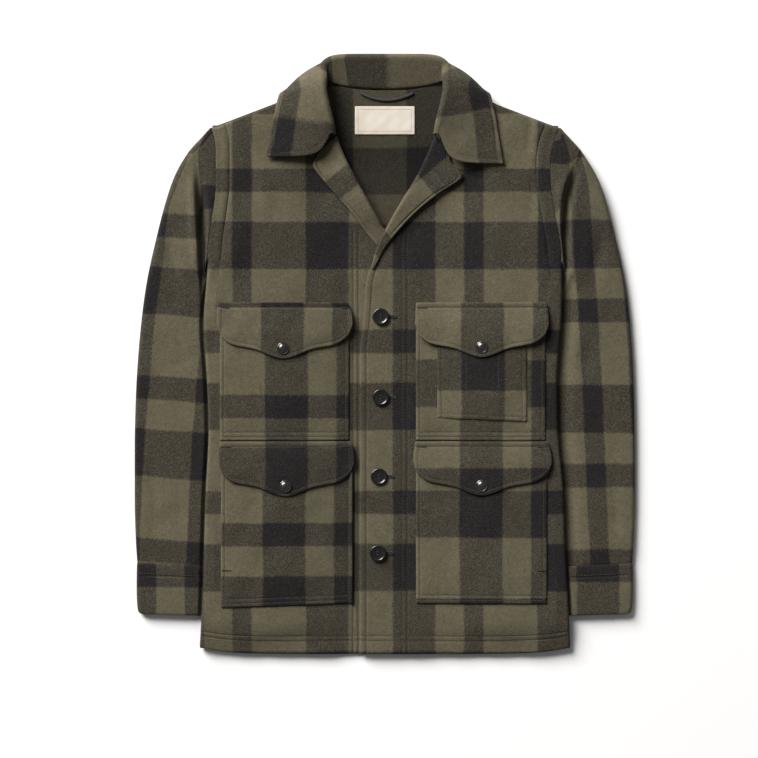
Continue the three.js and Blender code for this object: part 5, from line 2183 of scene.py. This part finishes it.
@dataclass
class NeckTrim:
    """The bare neck label and the hanger loop."""

    start: float = LABEL_CORNER[0]
    end: float = 39.7
    top: float = LABEL_CORNER[1]
    bottom: float = 290.0
    thick: float = 0.9
    row: float = 1.6
    loop_start: float = -32.0
    loop_end: float = 38.0
    loop_top: float = 345.5
    sag: float = 10.0
    loop_wide: float = 4.4
    loop_thick: float = 2.2
    loop_hollow: float = 0.9

    def label(self, finishes: Finishes, stitching: Stitching) -> bpy.types.Object:
        """The sewn label.

        Args:
            finishes: the jacket's materials.
            stitching: takes the row round it.

        Returns:
            The piece.
        """
        x = np.linspace(self.start, self.end, 41)[None, :]
        y = np.linspace(self.top, self.bottom, 21)[:, None]
        sheet = Sheet.of(x, y, self.label_top(x, y), x - self.start, self.top - y + 0 * x)
        piece = sheet.sewn("neck_label_cloth", self.thick)
        settle(piece, finishes.label, "label")
        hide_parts("neck_label")
        left, right = self.start + self.row, self.end - self.row
        high, low = self.top - self.row, self.bottom + self.row
        corners = [(left, high), (right, high), (right, low), (left, low)]
        for (ax, ay), (bx, by) in zip(corners, corners[1:] + corners[:1]):
            px, py = np.linspace(ax, bx, 40), np.linspace(ay, by, 40)
            stitching.row(np.stack([px, py, self.label_top(px, py)], axis=-1), 0.05)
        return piece

    def label_top(self, x: Array, y: Array) -> Array:
        """Upper face of the label."""
        on_back = FORM.cloth + FORM.seam + self.thick
        return FORM.back_under(x, y) + on_back + 0.25 * unevenness(x, y, 3.0, 30)

    def loop(self, finishes: Finishes) -> bpy.types.Object:
        """The hanger loop: a tape that sags between its sewn ends.

        Args:
            finishes: the jacket's materials.

        Returns:
            The piece.
        """
        share = np.linspace(0, 1, 49)
        x = lerp(self.loop_start, self.loop_end, share)
        y = self.loop_top - self.sag * np.sin(np.pi * share) ** 0.8
        slope = -np.cos(np.pi * share) * 0.45
        length = np.hypot(slope, 1.0)
        across = np.linspace(-0.5, 0.5, 7)[None, :]
        px = x[:, None] - (slope / length)[:, None] * across * self.loop_wide
        py = y[:, None] + (1 / length)[:, None] * across * self.loop_wide
        crown = FORM.back_under(x, y) + FORM.cloth + FORM.seam + self.loop_thick
        pz = crown[:, None] - self.loop_hollow * np.abs(2 * across) ** 3
        run = np.concatenate([[0.0], np.cumsum(np.hypot(np.diff(x), np.diff(y)))])
        sheet = Sheet.of(px, py, pz + 0 * px, run[:, None] + 0 * px, across * self.loop_wide + 0 * px)
        piece = sheet.sewn("hanger_loop_tape", self.loop_thick - self.loop_hollow)
        settle(piece, finishes.tape, "tape")
        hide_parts("hanger_loop")
        return piece


# Studio


@dataclass
class Studio:
    """White floor, soft light from the upper left, and the camera straight above."""

    frame_px: float = 758.0
    lens: float = 100.0
    film: float = 36.0
    focus_height: float = 0.012

    def floor(self, finishes: Finishes) -> None:
        """Lays the backdrop."""
        clear_selection()
        bpy.ops.mesh.primitive_plane_add(size=8.0, location=(0.0, 0.0, -0.0002))
        sheet = bpy.context.object
        sheet.name = "backdrop"
        bpy.ops.object.transform_apply(location=True, rotation=True, scale=True)
        sheet.data.materials.append(finishes.floor)

    def lamp(self, name: str, place: Sequence[float], size: float, power: float, color: Color) -> None:
        """Hangs a square soft lamp that looks at the jacket.

        Args:
            name: of the lamp.
            place: where it hangs, in metres.
            size: of its side.
            power: in watts.
            color: of its light.
        """
        data = bpy.data.lights.new(name, "AREA")
        data.size, data.energy, data.color = size, power, color
        lamp = bpy.data.objects.new(name, data)
        bpy.context.scene.collection.objects.link(lamp)
        lamp.location = place
        lamp.rotation_euler = Vector(place).to_track_quat("Z", "Y").to_euler()

    def camera(self) -> None:
        """Sets the camera straight above the middle of the photograph's frame."""
        data = bpy.data.cameras.new("over_table")
        data.lens, data.sensor_width, data.clip_end = self.lens, self.film, 50.0
        wide = self.frame_px * PIXEL * MM
        camera = bpy.data.objects.new("over_table", data)
        bpy.context.scene.collection.objects.link(camera)
        middle = self.frame_px / 2
        x, y = (measured(middle) + SHIFT[0]) * MM, (level(middle) + SHIFT[1]) * MM
        camera.location = (x, y, self.focus_height + wide * self.lens / self.film)
        bpy.context.scene.camera = camera

    def build(self, finishes: Finishes) -> None:
        """Sets the whole studio.

        Args:
            finishes: the jacket's materials.
        """
        self.floor(finishes)
        self.lamp("key_lamp", (-6.4, 8.1, 6.1), 6.8, 3330.0, (1.0, 0.99, 0.975))
        world = bpy.data.worlds.new("studio_air")
        bpy.context.scene.world = world
        world.use_nodes = True
        air = world.node_tree.nodes["Background"]
        air.inputs["Color"].default_value = (1.0, 1.0, 1.0, 1.0)
        air.inputs["Strength"].default_value = 0.145
        bpy.context.scene.view_settings.view_transform = "Standard"
        bpy.context.scene.view_settings.look = "None"
        self.camera()


def main() -> None:
    """Builds the jacket piece by piece, then the studio round it."""
    logging.basicConfig(level=logging.INFO, format="%(message)s")
    finishes = Finishes()
    panels = Stitching("panel_stitching")
    trims = Stitching("pocket_stitching")
    bars = Stitching("bar_tacks", width=0.75)
    back = Back()
    tell(back.build(finishes))
    back.sew(panels)
    fronts = (
        Front(Side.RIGHT, UNDER_EDGE, FORM.under_top, Lay(measured(306), level(222)), edge_rows=(),
              standing_rows=(-41.9, -35.3), cut=(0.262, 0.765), area=0.178),
        Front(Side.LEFT, OVER_EDGE, FORM.front_top, Lay(measured(393), level(222)), edge_rows=(8.2,),
              standing_rows=(22.8, 29.4), cut=(0.279, 0.765), area=0.190),
    )
    for front in fronts:
        tell(front.build(finishes))
        front.sew(panels)
    lapels = (
        Lapel(Side.RIGHT, RIGHT_CHORDS, FORM.under_top, corner=(measured(312.7), level(162.5)),
              edge_way=(0.622, -0.783), inward=(0.783, 0.622), phase=(128.0, 203.3, -1.0),
              cut=(0.072, 0.165), area=0.0070, lie=0.75),
        Lapel(Side.LEFT, LEFT_CHORDS, FORM.front_top, corner=(measured(464), level(178)),
              edge_way=(-0.764, -0.645), inward=(-0.645, 0.764), phase=(-35.9, 18.4, 1.0),
              cut=(0.078, 0.205), area=0.0078),
    )
    for lapel in lapels:
        tell(lapel.build(finishes, panels))
    tell(Collar().build(finishes, panels))
    Sleeves().build(finishes, panels)
    Pockets().build(finishes, trims, bars)
    buttons = Buttons()
    buttons.build(finishes, bars)
    slit_start, slit_up = measured(435.5), level(169)
    slit_turn = math.degrees(math.atan2(level(179) - slit_up, measured(442.6) - slit_start))
    buttons.worked_hole(slit_start, slit_start + 16.0, slit_up, slit_turn, lapels[1].surface, bars)
    trim = NeckTrim()
    label_rows = Stitching("label_stitching", 1.6, 0.7, 0.32)
    trim.label(finishes, label_rows)
    trim.loop(finishes)
    panels.made(finishes.thread)
    trims.made(finishes.thread)
    bars.made(finishes.bar_thread)
    label_rows.made(finishes.label_thread, "label")
    Studio().build(finishes)


if __name__ == "__main__":
    main()
